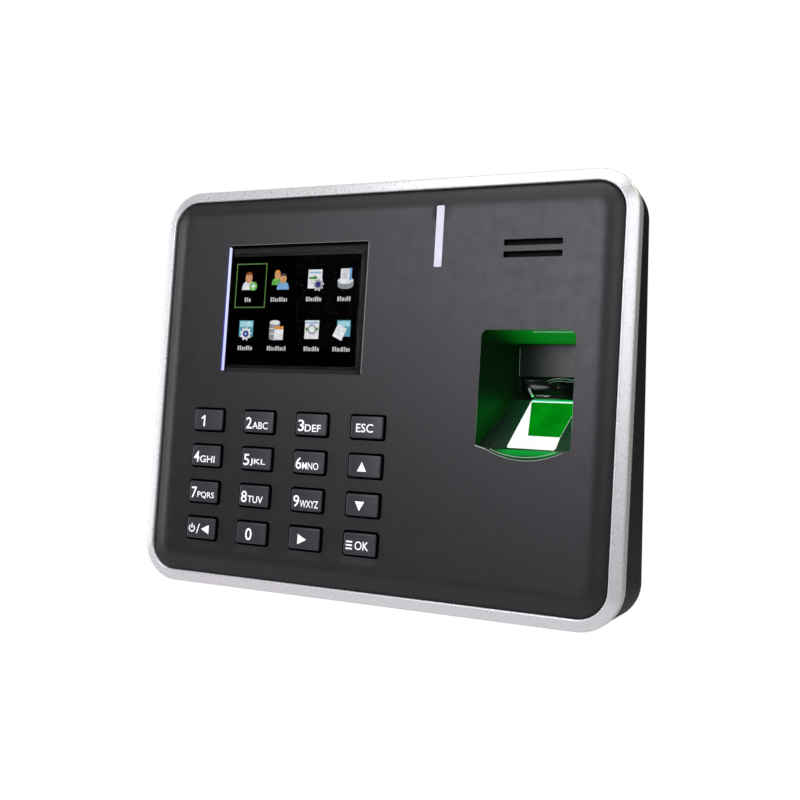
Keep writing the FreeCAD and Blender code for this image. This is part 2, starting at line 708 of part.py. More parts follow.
def make_keypad_mat():
    mat = keypad_plate(MAT_BASE, KEYPAD_BOARD)
    collars = []
    wells = []
    for name, x, z in key_centres():
        collars.append(slab(x, z, 9.6, 7.6, 1.5, MAT_TOP, MAT_BASE + 0.2))
        wells.append(slab(x, z, 7.2, 5.2, 0.8, MAT_TOP - 1, KEYPAD_BOARD + 1))
    for x, z in KEYPAD_POSTS:
        wells.append(rod(x, z, 2.3, MAT_TOP, KEYPAD_BOARD + 1))
    return joined([mat] + collars).cut(Part.makeCompound(wells))


def make_keypad_board():
    board = keypad_plate(KEYPAD_BOARD, KEYPAD_BOARD + KEYPAD_BOARD_T)
    return board.cut(Part.makeCompound([rod(x, z, 1.2, 5, 10) for x, z in KEYPAD_POSTS]))


def make_keypad_ribbon():
    """Flat ribbon from the keypad board to the main board."""
    depth = KEYPAD_BOARD + KEYPAD_BOARD_T
    return block(-34.0, -14.0, depth, BOARD_DEPTH, -33.3, -32.7)


# ---------------------------------------------------------------- main board and sockets

def make_main_board():
    board = joined([
        slab(-20.0, -1.0, 120.0, 114.0, 1.5, BOARD_DEPTH, BOARD_DEPTH + BOARD_T),
        slab(52.0, -62.5, 36.0, 17.0, 1.5, BOARD_DEPTH, BOARD_DEPTH + BOARD_T),
        block(34.0, 42.0, BOARD_DEPTH, BOARD_DEPTH + BOARD_T, -58.0, -54.5),
    ])
    return board.cut(Part.makeCompound([rod(x, z, 1.6, 5, 20) for x, z in BOARD_SCREWS]))


def make_main_chips():
    """Processor, memory, network and audio packages on the rear of the main board."""
    rear = BOARD_DEPTH + BOARD_T
    packages = (
        (-40.0, 22.0, 17.0, 17.0, 1.4),
        (-18.0, 24.0, 12.0, 18.0, 1.1),
        (-58.0, 22.0, 8.0, 13.0, 1.1),
        (-32.0, -4.0, 9.0, 9.0, 1.2),
        (16.0, 20.0, 5.0, 6.0, 1.5),
        (0.0, -2.0, 7.0, 7.0, 1.2),
    )
    return Part.makeCompound([slab(x, z, w, h, 0.3, rear, rear + t) for x, z, w, h, t in packages])


def make_board_capacitors():
    """Can capacitors of the power supply."""
    rear = BOARD_DEPTH + BOARD_T
    cans = []
    for x, z, r in ((-56.0, -30.0, 4.0), (-56.0, -40.0, 4.0), (-66.0, -36.0, 3.2)):
        can = rod(x, z, r, rear, rear + 9.0)
        cans.append(can.makeFillet(0.6, edges_at_depth(can, rear + 9.0)))
    return Part.makeCompound(cans)


def make_board_headers():
    """White plug headers that the ribbons and wires go to."""
    rear = BOARD_DEPTH + BOARD_T
    headers = []
    for x, z, w in ((28.0, 44.0, 12.0), (14.0, 44.0, 8.0), (-66.0, 4.0, 10.0)):
        shell = slab(x, z, w, 5.0, 0.3, rear, rear + 2.9)
        headers.append(shell.cut(slab(x, z, w - 1.6, 3.4, 0.2, rear + 0.8, rear + 4)))
    return Part.makeCompound(headers)


def make_ethernet_jack():
    x, depth, w, t = SOCKETS["ethernet_jack"]
    body = block(x - w / 2, x + w / 2, depth, depth + t, SOCKET_MOUTH, SOCKET_MOUTH + 18.0)
    mouth = block(x - 5.9, x + 5.9, depth + 2.0, depth + 9.4, SOCKET_MOUTH - 1, SOCKET_MOUTH + 13.0)
    latch = block(x - 3.1, x + 3.1, depth + 9.3, depth + 10.8, SOCKET_MOUTH - 1, SOCKET_MOUTH + 11.0)
    return body.cut(mouth).cut(latch)


def make_power_jack():
    x, depth, w, t = SOCKETS["power_jack"]
    body = block(x - w / 2, x + w / 2, depth, depth + t, SOCKET_MOUTH, SOCKET_MOUTH + 14.0)
    axis_y = depth + BARREL_RISE
    barrel = upright(x, axis_y, 3.2, SOCKET_MOUTH - 1, SOCKET_MOUTH + 9.5)
    pin = upright(x, axis_y, 1.0, SOCKET_MOUTH + 1.0, SOCKET_MOUTH + 10.0)
    return body.cut(barrel).fuse(pin).removeSplitter()


def make_terminal_block():
    """Six-way wire clamp block: a funnel for each wire and a screw head above it."""
    x, depth, w, t = SOCKETS["terminal_block"]
    body = block(x - w / 2, x + w / 2, depth, depth + t, SOCKET_MOUTH, SOCKET_MOUTH + 11.0)
    cuts = []
    for way in range(6):
        centre = x + (way - 2.5) * CLAMP_PITCH
        cuts.append(block(centre - 1.4, centre + 1.4, depth + 1.6, depth + 4.6,
                          SOCKET_MOUTH - 1, SOCKET_MOUTH + 7))
        cuts.append(rod(centre, SOCKET_MOUTH + 6.0, 1.4, depth + 5.6, depth + t + 1))
    return body.cut(Part.makeCompound(cuts))


def make_usb_port():
    x, depth, w, t = USB
    mouth_z = -PANEL_H / 2 - RING_W + HOUSING_INSET + 0.4
    shell = block(x - w / 2, x + w / 2, depth, depth + t, mouth_z, mouth_z + 14.0)
    mouth = block(x - 6.3, x + 6.3, depth + 0.9, depth + t - 0.9, mouth_z - 1, mouth_z + 11.0)
    tongue = block(x - 5.6, x + 5.6, depth + 0.9 + 0.6, depth + 0.9 + 2.2, mouth_z + 1.2, mouth_z + 11.5)
    return shell.cut(mouth).fuse(tongue).removeSplitter()


def make_cell_holder():
    rear = BOARD_DEPTH + BOARD_T
    cup = rod(CELL_X, CELL_Z, 11.2, rear, rear + 3.6)
    return cup.cut(rod(CELL_X, CELL_Z, 10.15, rear + 0.8, rear + 5))


def make_coin_cell():
    rear = BOARD_DEPTH + BOARD_T + 0.8
    cell = rod(CELL_X, CELL_Z, 10.0, rear, rear + 3.2)
    return cell.makeFillet(0.4, edges_at_depth(cell, rear + 3.2))


def make_buzzer():
    rear = BOARD_DEPTH + BOARD_T
    can = rod(-64.0, -18.0, 6.0, rear, rear + 8.0)
    return can.cut(rod(-64.0, -18.0, 1.0, rear + 4, rear + 9))


def make_tamper_switch():
    """Switch on the main board under the plunger's inner end."""
    rear = BOARD_DEPTH + BOARD_T
    body = slab(TAMPER_X, PLUNGER_FACE_Z, 6.4, 6.2, 0.4, rear, rear + 2.6)
    button = rod(TAMPER_X, PLUNGER_FACE_Z, 1.3, rear + 2.5, rear + 3.7)
    return joined([body, button])


def make_tamper_plunger():
    """Pin in the housing's back that the wall plate holds in; it rests just clear of the plate."""
    tip = -PLATE_T - 0.15
    guide_end = -RECESS - WALL - PLUNGER_GUIDE
    pin = rod(TAMPER_X, TAMPER_Z, PLUNGER_R, guide_end, tip)
    pin = pin.makeFillet(0.7, edges_at_depth(pin, tip))
    head = rod(TAMPER_X, TAMPER_Z, 3.0, guide_end - PLUNGER_HEAD, guide_end)
    return joined([pin, head])


# ---------------------------------------------------------------- fasteners
def make_case_screws():
    screws = []
    for sx in (1, -1):
        for sz in (1, -1):
            screws.append(screw(sx * CASE_SCREW_X, sz * CASE_SCREW_Z, CASE_SCREW_SEAT, 2.8, 2.2, 1.45, 10.5))
    return Part.makeCompound(screws)


def make_board_screws():
    seat = BOARD_DEPTH + BOARD_T
    screws = [screw(x, z, seat, 2.6, 1.6, 1.2, 8.0) for x, z in BOARD_SCREWS]
    seat = KEYPAD_BOARD + KEYPAD_BOARD_T
    screws += [screw(x, z, seat, 2.1, 1.3, 0.95, 4.4) for x, z in KEYPAD_POSTS]
    return Part.makeCompound(screws)


def make_sensor_screws():
    seat = PANEL_T + WELL_T
    return Part.makeCompound([screw(x, z, seat, 2.1, 1.2, 0.9, 2.6) for x, z in WELL_SCREWS])


# ---------------------------------------------------------------- export
FACE_PARTS = {
    "front_cover": make_front_cover,
    "bezel_trim": make_bezel_trim,
    "perimeter_seal": make_perimeter_seal,
    "lens_window": make_lens_window,
    "lens_gasket": make_lens_gasket,
    "lcd_frame": make_lcd_frame,
    "lcd_glass": make_lcd_glass,
    "lcd_backlight": make_lcd_backlight,
    "lcd_flex": make_lcd_flex,
    "status_light_pipe": make_status_light_pipe,
    "status_leds": make_status_leds,
    "status_led_board": make_status_led_board,
    "speaker": make_speaker,
    "speaker_gasket": make_speaker_gasket,
    "sensor_well": make_sensor_well,
    "sensor_prism": make_sensor_prism,
    "sensor_module_housing": make_sensor_module_housing,
    "sensor_led_board": make_sensor_led_board,
    "sensor_lens": make_sensor_lens,
    "sensor_camera_board": make_sensor_camera_board,
    "sensor_cable": make_sensor_cable,
    "keypad_mat": make_keypad_mat,
    "keypad_board": make_keypad_board,
    "keypad_ribbon": make_keypad_ribbon,
    "main_board": make_main_board,
    "main_chips": make_main_chips,
    "board_capacitors": make_board_capacitors,
    "board_headers": make_board_headers,
    "ethernet_jack": make_ethernet_jack,
    "power_jack": make_power_jack,
    "terminal_block": make_terminal_block,
    "usb_port": make_usb_port,
    "cell_holder": make_cell_holder,
    "coin_cell": make_coin_cell,
    "buzzer": make_buzzer,
    "tamper_switch": make_tamper_switch,
    "case_screws": make_case_screws,
    "board_screws": make_board_screws,
    "sensor_screws": make_sensor_screws,
}
WORLD_PARTS = {
    "rear_housing": make_rear_housing,
    "wall_plate": make_wall_plate,
    "lock_screw": make_lock_screw,
    "tamper_plunger": make_tamper_plunger,
}


def export(name, shape):
    if not shape.isValid():
        print("not valid:", name)
    shape.exportStep("parts/" + name + ".step")
    box = shape.BoundBox
    print("%-22s solids %2d  volume %9.1f  x %6.1f %6.1f  y %6.1f %6.1f  z %6.1f %6.1f" % (
        name, len(shape.Solids), shape.Volume, box.XMin, box.XMax, box.YMin, box.YMax, box.ZMin, box.ZMax))


def main():
    os.makedirs("parts", exist_ok=True)
    for name, make in FACE_PARTS.items():
        export(name, on_face(make()))
    for name, x, z in key_centres():
        export(name, on_face(make_key(x, z)))
    for name, make in WORLD_PARTS.items():
        export(name, make())


main()
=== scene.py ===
"""Looks of the fingerprint scanner terminal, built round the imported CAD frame.

Face frame: x to the right, depth into the terminal from its front surface, and up along the leaning
front, all in millimetres. at() turns such a point into the world frame, in metres.
"""
import json
import math

import bmesh
import bpy
from mathutils import Matrix, Vector


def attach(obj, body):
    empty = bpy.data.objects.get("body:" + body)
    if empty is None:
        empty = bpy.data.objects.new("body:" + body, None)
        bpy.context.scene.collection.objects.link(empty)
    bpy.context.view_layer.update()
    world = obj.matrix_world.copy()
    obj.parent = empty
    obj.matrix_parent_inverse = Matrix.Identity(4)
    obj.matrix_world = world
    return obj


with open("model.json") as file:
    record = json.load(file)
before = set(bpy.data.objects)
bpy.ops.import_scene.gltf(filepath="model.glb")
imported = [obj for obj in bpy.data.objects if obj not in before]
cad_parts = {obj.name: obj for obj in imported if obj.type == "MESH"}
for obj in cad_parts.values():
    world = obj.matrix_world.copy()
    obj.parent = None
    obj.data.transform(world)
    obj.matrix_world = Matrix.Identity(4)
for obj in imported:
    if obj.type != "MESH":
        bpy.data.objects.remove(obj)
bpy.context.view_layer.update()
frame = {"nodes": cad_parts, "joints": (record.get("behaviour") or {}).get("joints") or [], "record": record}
NODES = frame["nodes"]
MM = 0.001


# ---------------------------------------------------------------- face frame
def joint_axis(name):
    for joint in frame["joints"]:
        if joint["name"] == name:
            return Vector(joint["axis"])
    raise KeyError(name)


RIGHT = Vector((1, 0, 0))
INWARD = joint_axis("key_5_press").normalized()
UP = Vector((0, -INWARD.z, INWARD.y))


def spread(node, axis):
    """Lowest and highest reach of a CAD node along an axis, in metres."""
    reach = [axis.dot(v.co) for v in NODES[node].data.vertices]
    return min(reach), max(reach)


FRONT = spread("front_cover", INWARD)[0]
MIDDLE = sum(spread("bezel_trim", UP)) / 2


def at(x, depth, up):
    """World point, in metres, of a face-frame point in millimetres."""
    return RIGHT * x * MM + INWARD * (FRONT + depth * MM) + UP * (MIDDLE + up * MM)


def turned(x, depth, up):
    """World direction of a face-frame direction."""
    return RIGHT * x + INWARD * depth + UP * up


def extent(node):
    """(x low, x high, depth low, depth high, up low, up high) of a CAD node, in face-frame millimetres."""
    x = spread(node, RIGHT)
    d = spread(node, INWARD)
    u = spread(node, UP)
    return (x[0] / MM, x[1] / MM, (d[0] - FRONT) / MM, (d[1] - FRONT) / MM, (u[0] - MIDDLE) / MM,
            (u[1] - MIDDLE) / MM)


def front_middle(node):
    """Middle of a CAD node's front, as x, up and depth in the face frame."""
    x0, x1, front, _, u0, u1 = extent(node)
    return (x0 + x1) / 2, (u0 + u1) / 2, front


# ---------------------------------------------------------------- camera, lights and stage
CAMERA_PLACE = (163.63, -328.54, -22.76)     # to the right of the terminal, in front and a little low
CAMERA_RIGHT = (0.90960, 0.41102, 0.06070)
CAMERA_UP = (-0.03312, -0.07390, 0.99672)
CAMERA_AHEAD = (-0.41416, 0.90863, 0.05361)
LAMP_REACH = 1.45                            # metres from the terminal to each soft box
FLOOR_DROP = 0.42                            # metres from the terminal's origin down to the floor


def make_camera():
    data = bpy.data.cameras.new("camera")
    data.lens = 45.02
    data.sensor_width = 36.0
    data.clip_start = 0.01
    data.clip_end = 50
    camera = bpy.data.objects.new("camera", data)
    bpy.context.scene.collection.objects.link(camera)
    axes = Matrix((turned(*CAMERA_RIGHT), turned(*CAMERA_UP), -turned(*CAMERA_AHEAD))).transposed()
    camera.matrix_world = Matrix.Translation(at(*CAMERA_PLACE)) @ axes.to_4x4()
    bpy.context.scene.camera = camera


def soft_box(name, place, aim, width, height, power, color):
    data = bpy.data.lights.new(name, "AREA")
    data.shape = "RECTANGLE"
    data.size = width
    data.size_y = height
    data.energy = power
    data.color = color
    lamp = bpy.data.objects.new(name, data)
    bpy.context.scene.collection.objects.link(lamp)
    lamp.location = place
    lamp.rotation_mode = "QUATERNION"
    lamp.rotation_quaternion = (aim - place).to_track_quat("-Z", "Y")


def make_lights():
    """Soft boxes round the terminal: turn to the right of its front and rise in degrees, size in metres."""
    boxes = (
        ("front_high_box", -15, 27, 0.9, 0.7, 7.0, (0.95, 0.93, 1.0)),
        ("front_low_box", -10, -30, 0.9, 0.6, 20.0, (1.0, 1.0, 1.0)),
        ("streak_box", -6, 17, 0.14, 0.4, 2.6, (0.93, 0.88, 1.0)),
        ("right_front_box", 48, 24, 0.7, 0.8, 4.0, (0.98, 0.97, 1.0)),
        ("right_back_box", 110, 45, 0.6, 0.6, 5.0, (0.85, 1.0, 0.65)),
        ("left_box", -78, 8, 0.5, 1.0, 5.5, (1.0, 1.0, 1.0)),
        ("top_box", 10, 80, 1.2, 0.7, 12.0, (1.0, 1.0, 1.0)),
    )
    centre = Vector((0.0, -0.02, 0.0))
    for name, turn, rise, width, height, power, color in boxes:
        side, lift = math.radians(turn), math.radians(rise)
        away = Vector((math.sin(side) * math.cos(lift), -math.cos(side) * math.cos(lift), math.sin(lift)))
        soft_box(name, centre + LAMP_REACH * away, centre, width, height, power, color)


def make_world():
    """White to the eye; a dim studio to everything that it lights."""
    world = bpy.data.worlds.new("studio")
    bpy.context.scene.world = world
    world.use_nodes = True
    tree = world.node_tree
    tree.nodes.clear()
    out = tree.nodes.new("ShaderNodeOutputWorld")
    mix = tree.nodes.new("ShaderNodeMixShader")
    path = tree.nodes.new("ShaderNodeLightPath")
    seen = tree.nodes.new("ShaderNodeBackground")
    seen.inputs["Color"].default_value = (1, 1, 1, 1)
    seen.inputs["Strength"].default_value = 1.0
    lit = tree.nodes.new("ShaderNodeBackground")
    lit.inputs["Color"].default_value = (0.9, 0.92, 1.0, 1)
    lit.inputs["Strength"].default_value = 0.05
    tree.links.new(path.outputs["Is Camera Ray"], mix.inputs["Fac"])
    tree.links.new(lit.outputs[0], mix.inputs[1])
    tree.links.new(seen.outputs[0], mix.inputs[2])
    tree.links.new(mix.outputs[0], out.inputs["Surface"])


def make_floor():
    mesh = bpy.data.meshes.new("floor")
    builder = bmesh.new()
    bmesh.ops.create_circle(builder, cap_ends=True, segments=64, radius=6.0)
    builder.to_mesh(mesh)
    builder.free()
    floor = bpy.data.objects.new("floor", mesh)
    bpy.context.scene.collection.objects.link(floor)
    floor.location = (0, 0, -FLOOR_DROP)
    paint, tree, shader = new_material("floor_paint", (0.82, 0.8, 0.82), 0.9)
    seen_as(tree, shader, (1, 1, 1), 1.0, 1.04, 2)
    mesh.materials.append(paint)


# ---------------------------------------------------------------- materials
NOISE_SPAN = (0.3, 0.7)                      # where noise is taken as its low and its high value


def new_material(name, color, roughness, metallic=0.0):
    paint = bpy.data.materials.new(name)
    paint.use_nodes = True
    tree = paint.node_tree
    shader = tree.nodes["Principled BSDF"]
    shader.inputs["Base Color"].default_value = (*color, 1)
    shader.inputs["Roughness"].default_value = roughness
    shader.inputs["Metallic"].default_value = metallic
    return paint, tree, shader


def seen_as(tree, shader, color, low, high, scale=150):
    """Makes a surface glow to the eye, with a strength that wanders from low to high.

    The light that it sends elsewhere stays as it was.
    """
    path = tree.nodes.new("ShaderNodeLightPath")
    seen = tree.nodes.new("ShaderNodeEmission")
    seen.inputs["Color"].default_value = (*color, 1)
    tree.links.new(step_up(tree, noise(tree, scale), *NOISE_SPAN, low, high), seen.inputs["Strength"])
    mix = tree.nodes.new("ShaderNodeMixShader")
    tree.links.new(path.outputs["Is Camera Ray"], mix.inputs["Fac"])
    tree.links.new(shader.outputs[0], mix.inputs[1])
    tree.links.new(seen.outputs[0], mix.inputs[2])
    tree.links.new(mix.outputs[0], tree.nodes["Material Output"].inputs["Surface"])


def math_node(tree, operation, *values):
    """Result of a sum; each of its inputs is a socket or a number."""
    node = tree.nodes.new("ShaderNodeMath")
    node.operation = operation
    for socket, value in zip(node.inputs, values):
        if isinstance(value, (int, float)):
            socket.default_value = value
        else:
            tree.links.new(value, socket)
    return node.outputs[0]


def place_along(tree, axis, zero):
    """How far the shaded point lies along an axis, in millimetres from zero."""
    place = tree.nodes.new("ShaderNodeTexCoord")
    dot = tree.nodes.new("ShaderNodeVectorMath")
    dot.operation = "DOT_PRODUCT"
    tree.links.new(place.outputs["Object"], dot.inputs[0])
    dot.inputs[1].default_value = axis
    return math_node(tree, "DIVIDE", math_node(tree, "SUBTRACT", dot.outputs["Value"], zero), MM)


def step_up(tree, value, start, end, low=0.0, high=1.0, curve="SMOOTHSTEP"):
    """Goes from low to high as the value goes from start to end."""
    ramp = tree.nodes.new("ShaderNodeMapRange")
    ramp.interpolation_type = curve
    ramp.inputs["From Min"].default_value = start
    ramp.inputs["From Max"].default_value = end
    ramp.inputs["To Min"].default_value = low
    ramp.inputs["To Max"].default_value = high
    tree.links.new(value, ramp.inputs["Value"])
    return ramp.outputs["Result"]


def soften(tree, bump, radius):
    """Feeds a bump with normals rounded over edges; radius is in metres, as a number or a socket."""
    bevel = tree.nodes.new("ShaderNodeBevel")
    bevel.samples = 6
    if isinstance(radius, float):
        bevel.inputs["Radius"].default_value = radius
    else:
        tree.links.new(radius, bevel.inputs["Radius"])
    tree.links.new(bevel.outputs["Normal"], bump.inputs["Normal"])


def paint_shade(tree, shader, amount):
    """Paints shade: takes the colour and the shine down where the amount is 1."""
    base = shader.inputs["Base Color"]
    mix = tree.nodes.new("ShaderNodeMix")
    mix.data_type = "RGBA"
    tree.links.new(amount, mix.inputs[0])
    tree.links.new(base.links[0].from_socket, mix.inputs[6])
    mix.inputs[7].default_value = (0.003, 0.003, 0.003, 1)
    tree.links.new(mix.outputs[2], base)
    shine = math_node(tree, "MULTIPLY_ADD", amount, -0.5, 0.5)
    tree.links.new(shine, shader.inputs["Specular IOR Level"])


def noise(tree, scale):
    """Noise over the surface, fixed to the piece; its scale is in grains per metre."""
    place = tree.nodes.new("ShaderNodeTexCoord")
    texture = tree.nodes.new("ShaderNodeTexNoise")
    texture.inputs["Scale"].default_value = scale
    texture.inputs["Detail"].default_value = 2.0
    tree.links.new(place.outputs["Object"], texture.inputs["Vector"])
    return texture.outputs["Fac"]


def grain(tree, shader, scale, depth, strength):
    """Fine raised texture, depth in metres; returns its bump."""
    bump = tree.nodes.new("ShaderNodeBump")
    bump.inputs["Distance"].default_value = depth
    bump.inputs["Strength"].default_value = strength
    tree.links.new(noise(tree, scale), bump.inputs["Height"])
    tree.links.new(bump.outputs["Normal"], shader.inputs["Normal"])
    return bump


def mottle(tree, shader, socket, scale, low, high):
    """Lets one of the shader's inputs wander between two values."""
    wander = step_up(tree, noise(tree, scale), *NOISE_SPAN, low, high, "LINEAR")
    tree.links.new(wander, shader.inputs[socket])


def tint(tree, shader, scale, low, high):
    """Lets the colour wander between two colours."""
    ramp = tree.nodes.new("ShaderNodeValToRGB")
    for element, position, color in zip(ramp.color_ramp.elements, NOISE_SPAN, (low, high)):
        element.position = position
        element.color = (*color, 1)
    tree.links.new(noise(tree, scale), ramp.inputs["Fac"])
    tree.links.new(ramp.outputs["Color"], shader.inputs["Base Color"])


COVER_BEND_X = (79.0, 82.0)                  # where the cover starts to turn down to the ring, across
COVER_BEND_UP = (61.0, 64.0)                 # and up or down
EDGE_RADIUS = 0.0003                         # shading radius of the cover's openings, in metres
RIM_RADIUS = 0.0045                          # shading radius of its outer bend


def satin_black():
    """Satin cover whose outer bend is shaded wide by rounded normals, with painted shade down the walls of
    its openings.
    """
    paint, tree, shader = new_material("satin_black", (0.011, 0.0105, 0.0115), 0.38)
    tint(tree, shader, 900, (0.0095, 0.009, 0.01), (0.0125, 0.012, 0.0135))
    mottle(tree, shader, "Roughness", 250, 0.35, 0.41)
    bump = grain(tree, shader, 4200, 0.00002, 0.35)
    across = math_node(tree, "ABSOLUTE", place_along(tree, RIGHT, 0.0))
    rise = math_node(tree, "ABSOLUTE", place_along(tree, UP, MIDDLE))
    border = math_node(tree, "MAXIMUM", step_up(tree, across, *COVER_BEND_X),
                       step_up(tree, rise, *COVER_BEND_UP))
    radius = math_node(tree, "MULTIPLY_ADD", border, RIM_RADIUS - EDGE_RADIUS, EDGE_RADIUS)
    soften(tree, bump, radius)
    # painted shade: the walls of the openings, below the face and inside the outer bend, turn near black
    below = step_up(tree, place_along(tree, INWARD, FRONT), 0.3, 0.5)
    inner = math_node(tree, "SUBTRACT", 1.0, border)
    paint_shade(tree, shader, math_node(tree, "MULTIPLY", below, inner))
    return paint


def textured_black():
    paint, tree, shader = new_material("textured_black", (0.005, 0.006, 0.005), 0.55)
    tint(tree, shader, 1500, (0.004, 0.005, 0.004), (0.006, 0.0075, 0.006))
    mottle(tree, shader, "Roughness", 600, 0.48, 0.62)
    grain(tree, shader, 2600, 0.00006, 0.8)
    shader.inputs["Specular IOR Level"].default_value = 0.25
    return paint


def silver_paint():
    paint, tree, shader = new_material("silver_paint", (0.8, 0.785, 0.8), 0.3, 0.4)
    tint(tree, shader, 3500, (0.77, 0.755, 0.77), (0.85, 0.835, 0.85))
    mottle(tree, shader, "Roughness", 900, 0.26, 0.34)
    soften(tree, grain(tree, shader, 6000, 0.00001, 0.3), 0.0009)
    return paint


KEY_DOME = 0.00001                           # fall of a key's top from its middle, in metres per square mm


def key_plastic():
    """Satin charcoal; the key tops are slightly domed across, and their sides are painted dark as the shade
    of the gaps.
    """
    paint, tree, shader = new_material("key_plastic", (0.032, 0.033, 0.039), 0.36)
    tint(tree, shader, 1200, (0.029, 0.03, 0.036), (0.035, 0.036, 0.043))
    bump = grain(tree, shader, 5000, 0.000012, 0.4)
    first, _, top = front_middle("key_1")
    pitch = front_middle("key_2")[0] - first
    across = math_node(tree, "WRAP", place_along(tree, RIGHT, (first - pitch / 2) * MM), 0.0, pitch)
    off = math_node(tree, "SUBTRACT", across, pitch / 2)
    fall = math_node(tree, "MULTIPLY", math_node(tree, "MULTIPLY", off, off), -1.0)
    dome = tree.nodes.new("ShaderNodeBump")
    dome.inputs["Strength"].default_value = 1.0
    dome.inputs["Distance"].default_value = KEY_DOME
    tree.links.new(fall, dome.inputs["Height"])
    tree.links.new(dome.outputs["Normal"], bump.inputs["Normal"])
    soften(tree, dome, 0.0006)
    # painted shade: the key's sides below its top turn near black
    paint_shade(tree, shader, step_up(tree, place_along(tree, INWARD, FRONT), top + 0.25, top + 0.5))
    return paint


def gloss_black():
    """Polished walls of the finger well, with a painted green glow of the platen's light on the ceiling and
    low on the left wall, and their shine cut down towards the left as painted shade.
    """
    paint, tree, shader = new_material("gloss_black", (0.004, 0.009, 0.005), 0.3)
    mottle(tree, shader, "Roughness", 300, 0.27, 0.33)
    x = place_along(tree, RIGHT, 0.0)
    depth = place_along(tree, INWARD, FRONT)
    up = place_along(tree, UP, MIDDLE)
    # painted shade: the walls' shine is cut down towards the left
    tree.links.new(step_up(tree, x, 54.0, 72.0, 0.02, 0.4), shader.inputs["Specular IOR Level"])
    # painted light: green glow of the platen on the ceiling, stronger to the right, and low on the left wall
    shader.inputs["Emission Color"].default_value = (*linear(2, 118, 22), 1)
    on_ceiling = step_up(tree, up, 18.5, 20.5)
    ceiling = math_node(tree, "MULTIPLY", on_ceiling, step_up(tree, x, 44.0, 66.0, 0.03, 0.95))
    before_back = step_up(tree, depth, 18.5, 17.5)
    low_down = step_up(tree, up, 4.0, -7.0, 0.01, 0.1)
    left_wall = math_node(tree, "MULTIPLY", low_down, step_up(tree, x, 53.0, 50.0))
    glow = math_node(tree, "MULTIPLY", before_back, math_node(tree, "ADD", ceiling, left_wall))
    tree.links.new(glow, shader.inputs["Emission Strength"])
    return paint


def plain(name, low, high, roughness, metallic=0.0, scale=1200, depth=0.00002):
    """Colour that wanders between two tones under a fine grain."""
    paint, tree, shader = new_material(name, low, roughness, metallic)
    tint(tree, shader, scale, low, high)
    grain(tree, shader, scale * 2.5, depth, 0.4)
    return paint


def clear_pane():
    paint, tree, shader = new_material("clear_pane", (0, 0, 0), 0.02)
    shader.inputs["Alpha"].default_value = 0.05
    shader.inputs["Specular IOR Level"].default_value = 0.08
    mottle(tree, shader, "Roughness", 80, 0.01, 0.03)
    return paint


def green_glass():
    paint, tree, shader = new_material("green_glass", (0.75, 1.0, 0.82), 0.03)
    shader.inputs["Transmission Weight"].default_value = 1.0
    shader.inputs["IOR"].default_value = 1.5
    mottle(tree, shader, "Roughness", 200, 0.01, 0.05)
    return paint


def light_bar():
    paint, tree, shader = new_material("light_bar", (0.08, 0.08, 0.09), 0.35)
    shader.inputs["Emission Color"].default_value = (*linear(212, 209, 230), 1)
    mottle(tree, shader, "Emission Strength", 220, 0.92, 1.04)
    return paint


def paint_node(name, paint):
    mesh = NODES[name].data
    mesh.materials.clear()
    mesh.materials.append(paint)
    for polygon in mesh.polygons:
        polygon.material_index = 0


def paint_frame():
    """Gives every CAD node the material of its slot."""
    paints = {
        "cover_plastic": satin_black(),
        "silver_trim": silver_paint(),
        "housing_plastic": textured_black(),
        "key_plastic": key_plastic(),
        "gloss_black": gloss_black(),
        "window_glass": clear_pane(),
        "display_glass": plain("display_glass", (0.004, 0.004, 0.005), (0.006, 0.006, 0.007), 0.1),
        "light_plastic": plain("light_plastic", (0.8, 0.82, 0.85), (0.86, 0.88, 0.9), 0.3),
        "light_bar": light_bar(),
        "led_white": plain("led_white", (0.9, 0.86, 0.6), (0.95, 0.92, 0.7), 0.3),
        "prism_glass": green_glass(),
        "inner_plastic": plain("inner_plastic", (0.025, 0.025, 0.028), (0.035, 0.035, 0.038), 0.45),
        "connector_plastic": plain("connector_plastic", (0.8, 0.77, 0.68), (0.86, 0.84, 0.76), 0.4),
        "terminal_plastic": plain("terminal_plastic", (0.04, 0.27, 0.09), (0.05, 0.32, 0.11), 0.4),
        "chip_plastic": plain("chip_plastic", (0.02, 0.02, 0.022), (0.03, 0.03, 0.032), 0.5),
        "plunger_plastic": plain("plunger_plastic", (0.7, 0.7, 0.66), (0.78, 0.78, 0.74), 0.4),
        "circuit_board": plain("circuit_board", (0.01, 0.11, 0.04), (0.015, 0.15, 0.06), 0.25),
        "sheet_metal": plain("sheet_metal", (0.62, 0.63, 0.64), (0.72, 0.73, 0.74), 0.3, 1.0),
        "speaker_metal": plain("speaker_metal", (0.38, 0.38, 0.39), (0.46, 0.46, 0.47), 0.35, 1.0),
        "jack_metal": plain("jack_metal", (0.6, 0.6, 0.61), (0.7, 0.7, 0.71), 0.25, 1.0),
        "cell_steel": plain("cell_steel", (0.66, 0.66, 0.66), (0.74, 0.74, 0.74), 0.2, 1.0),
        "screw_steel": plain("screw_steel", (0.5, 0.5, 0.51), (0.6, 0.6, 0.61), 0.3, 1.0),
        "plate_steel": plain("plate_steel", (0.5, 0.51, 0.52), (0.64, 0.65, 0.66), 0.35, 1.0, 300),
        "flex_film": plain("flex_film", (0.45, 0.2, 0.03), (0.55, 0.26, 0.05), 0.3),
        "foam": plain("foam", (0.012, 0.012, 0.012), (0.03, 0.03, 0.03), 0.9, 0.0, 2500),
        "seal_rubber": plain("seal_rubber", (0.012, 0.012, 0.012), (0.02, 0.02, 0.02), 0.7),
        "silicone": plain("silicone", (0.25, 0.26, 0.28), (0.3, 0.31, 0.33), 0.6),
    }
    for part in frame["record"]["subparts"]:
        paint_node(part["node"], paints[part["material_slot"]])


# ---------------------------------------------------------------- building pieces
def linear(r, g, b):
    """Linear colour of a colour given in 0 to 255."""
    return tuple((c / 255 / 12.92) if c < 11 else ((c / 255 + 0.055) / 1.055) ** 2.4 for c in (r, g, b))


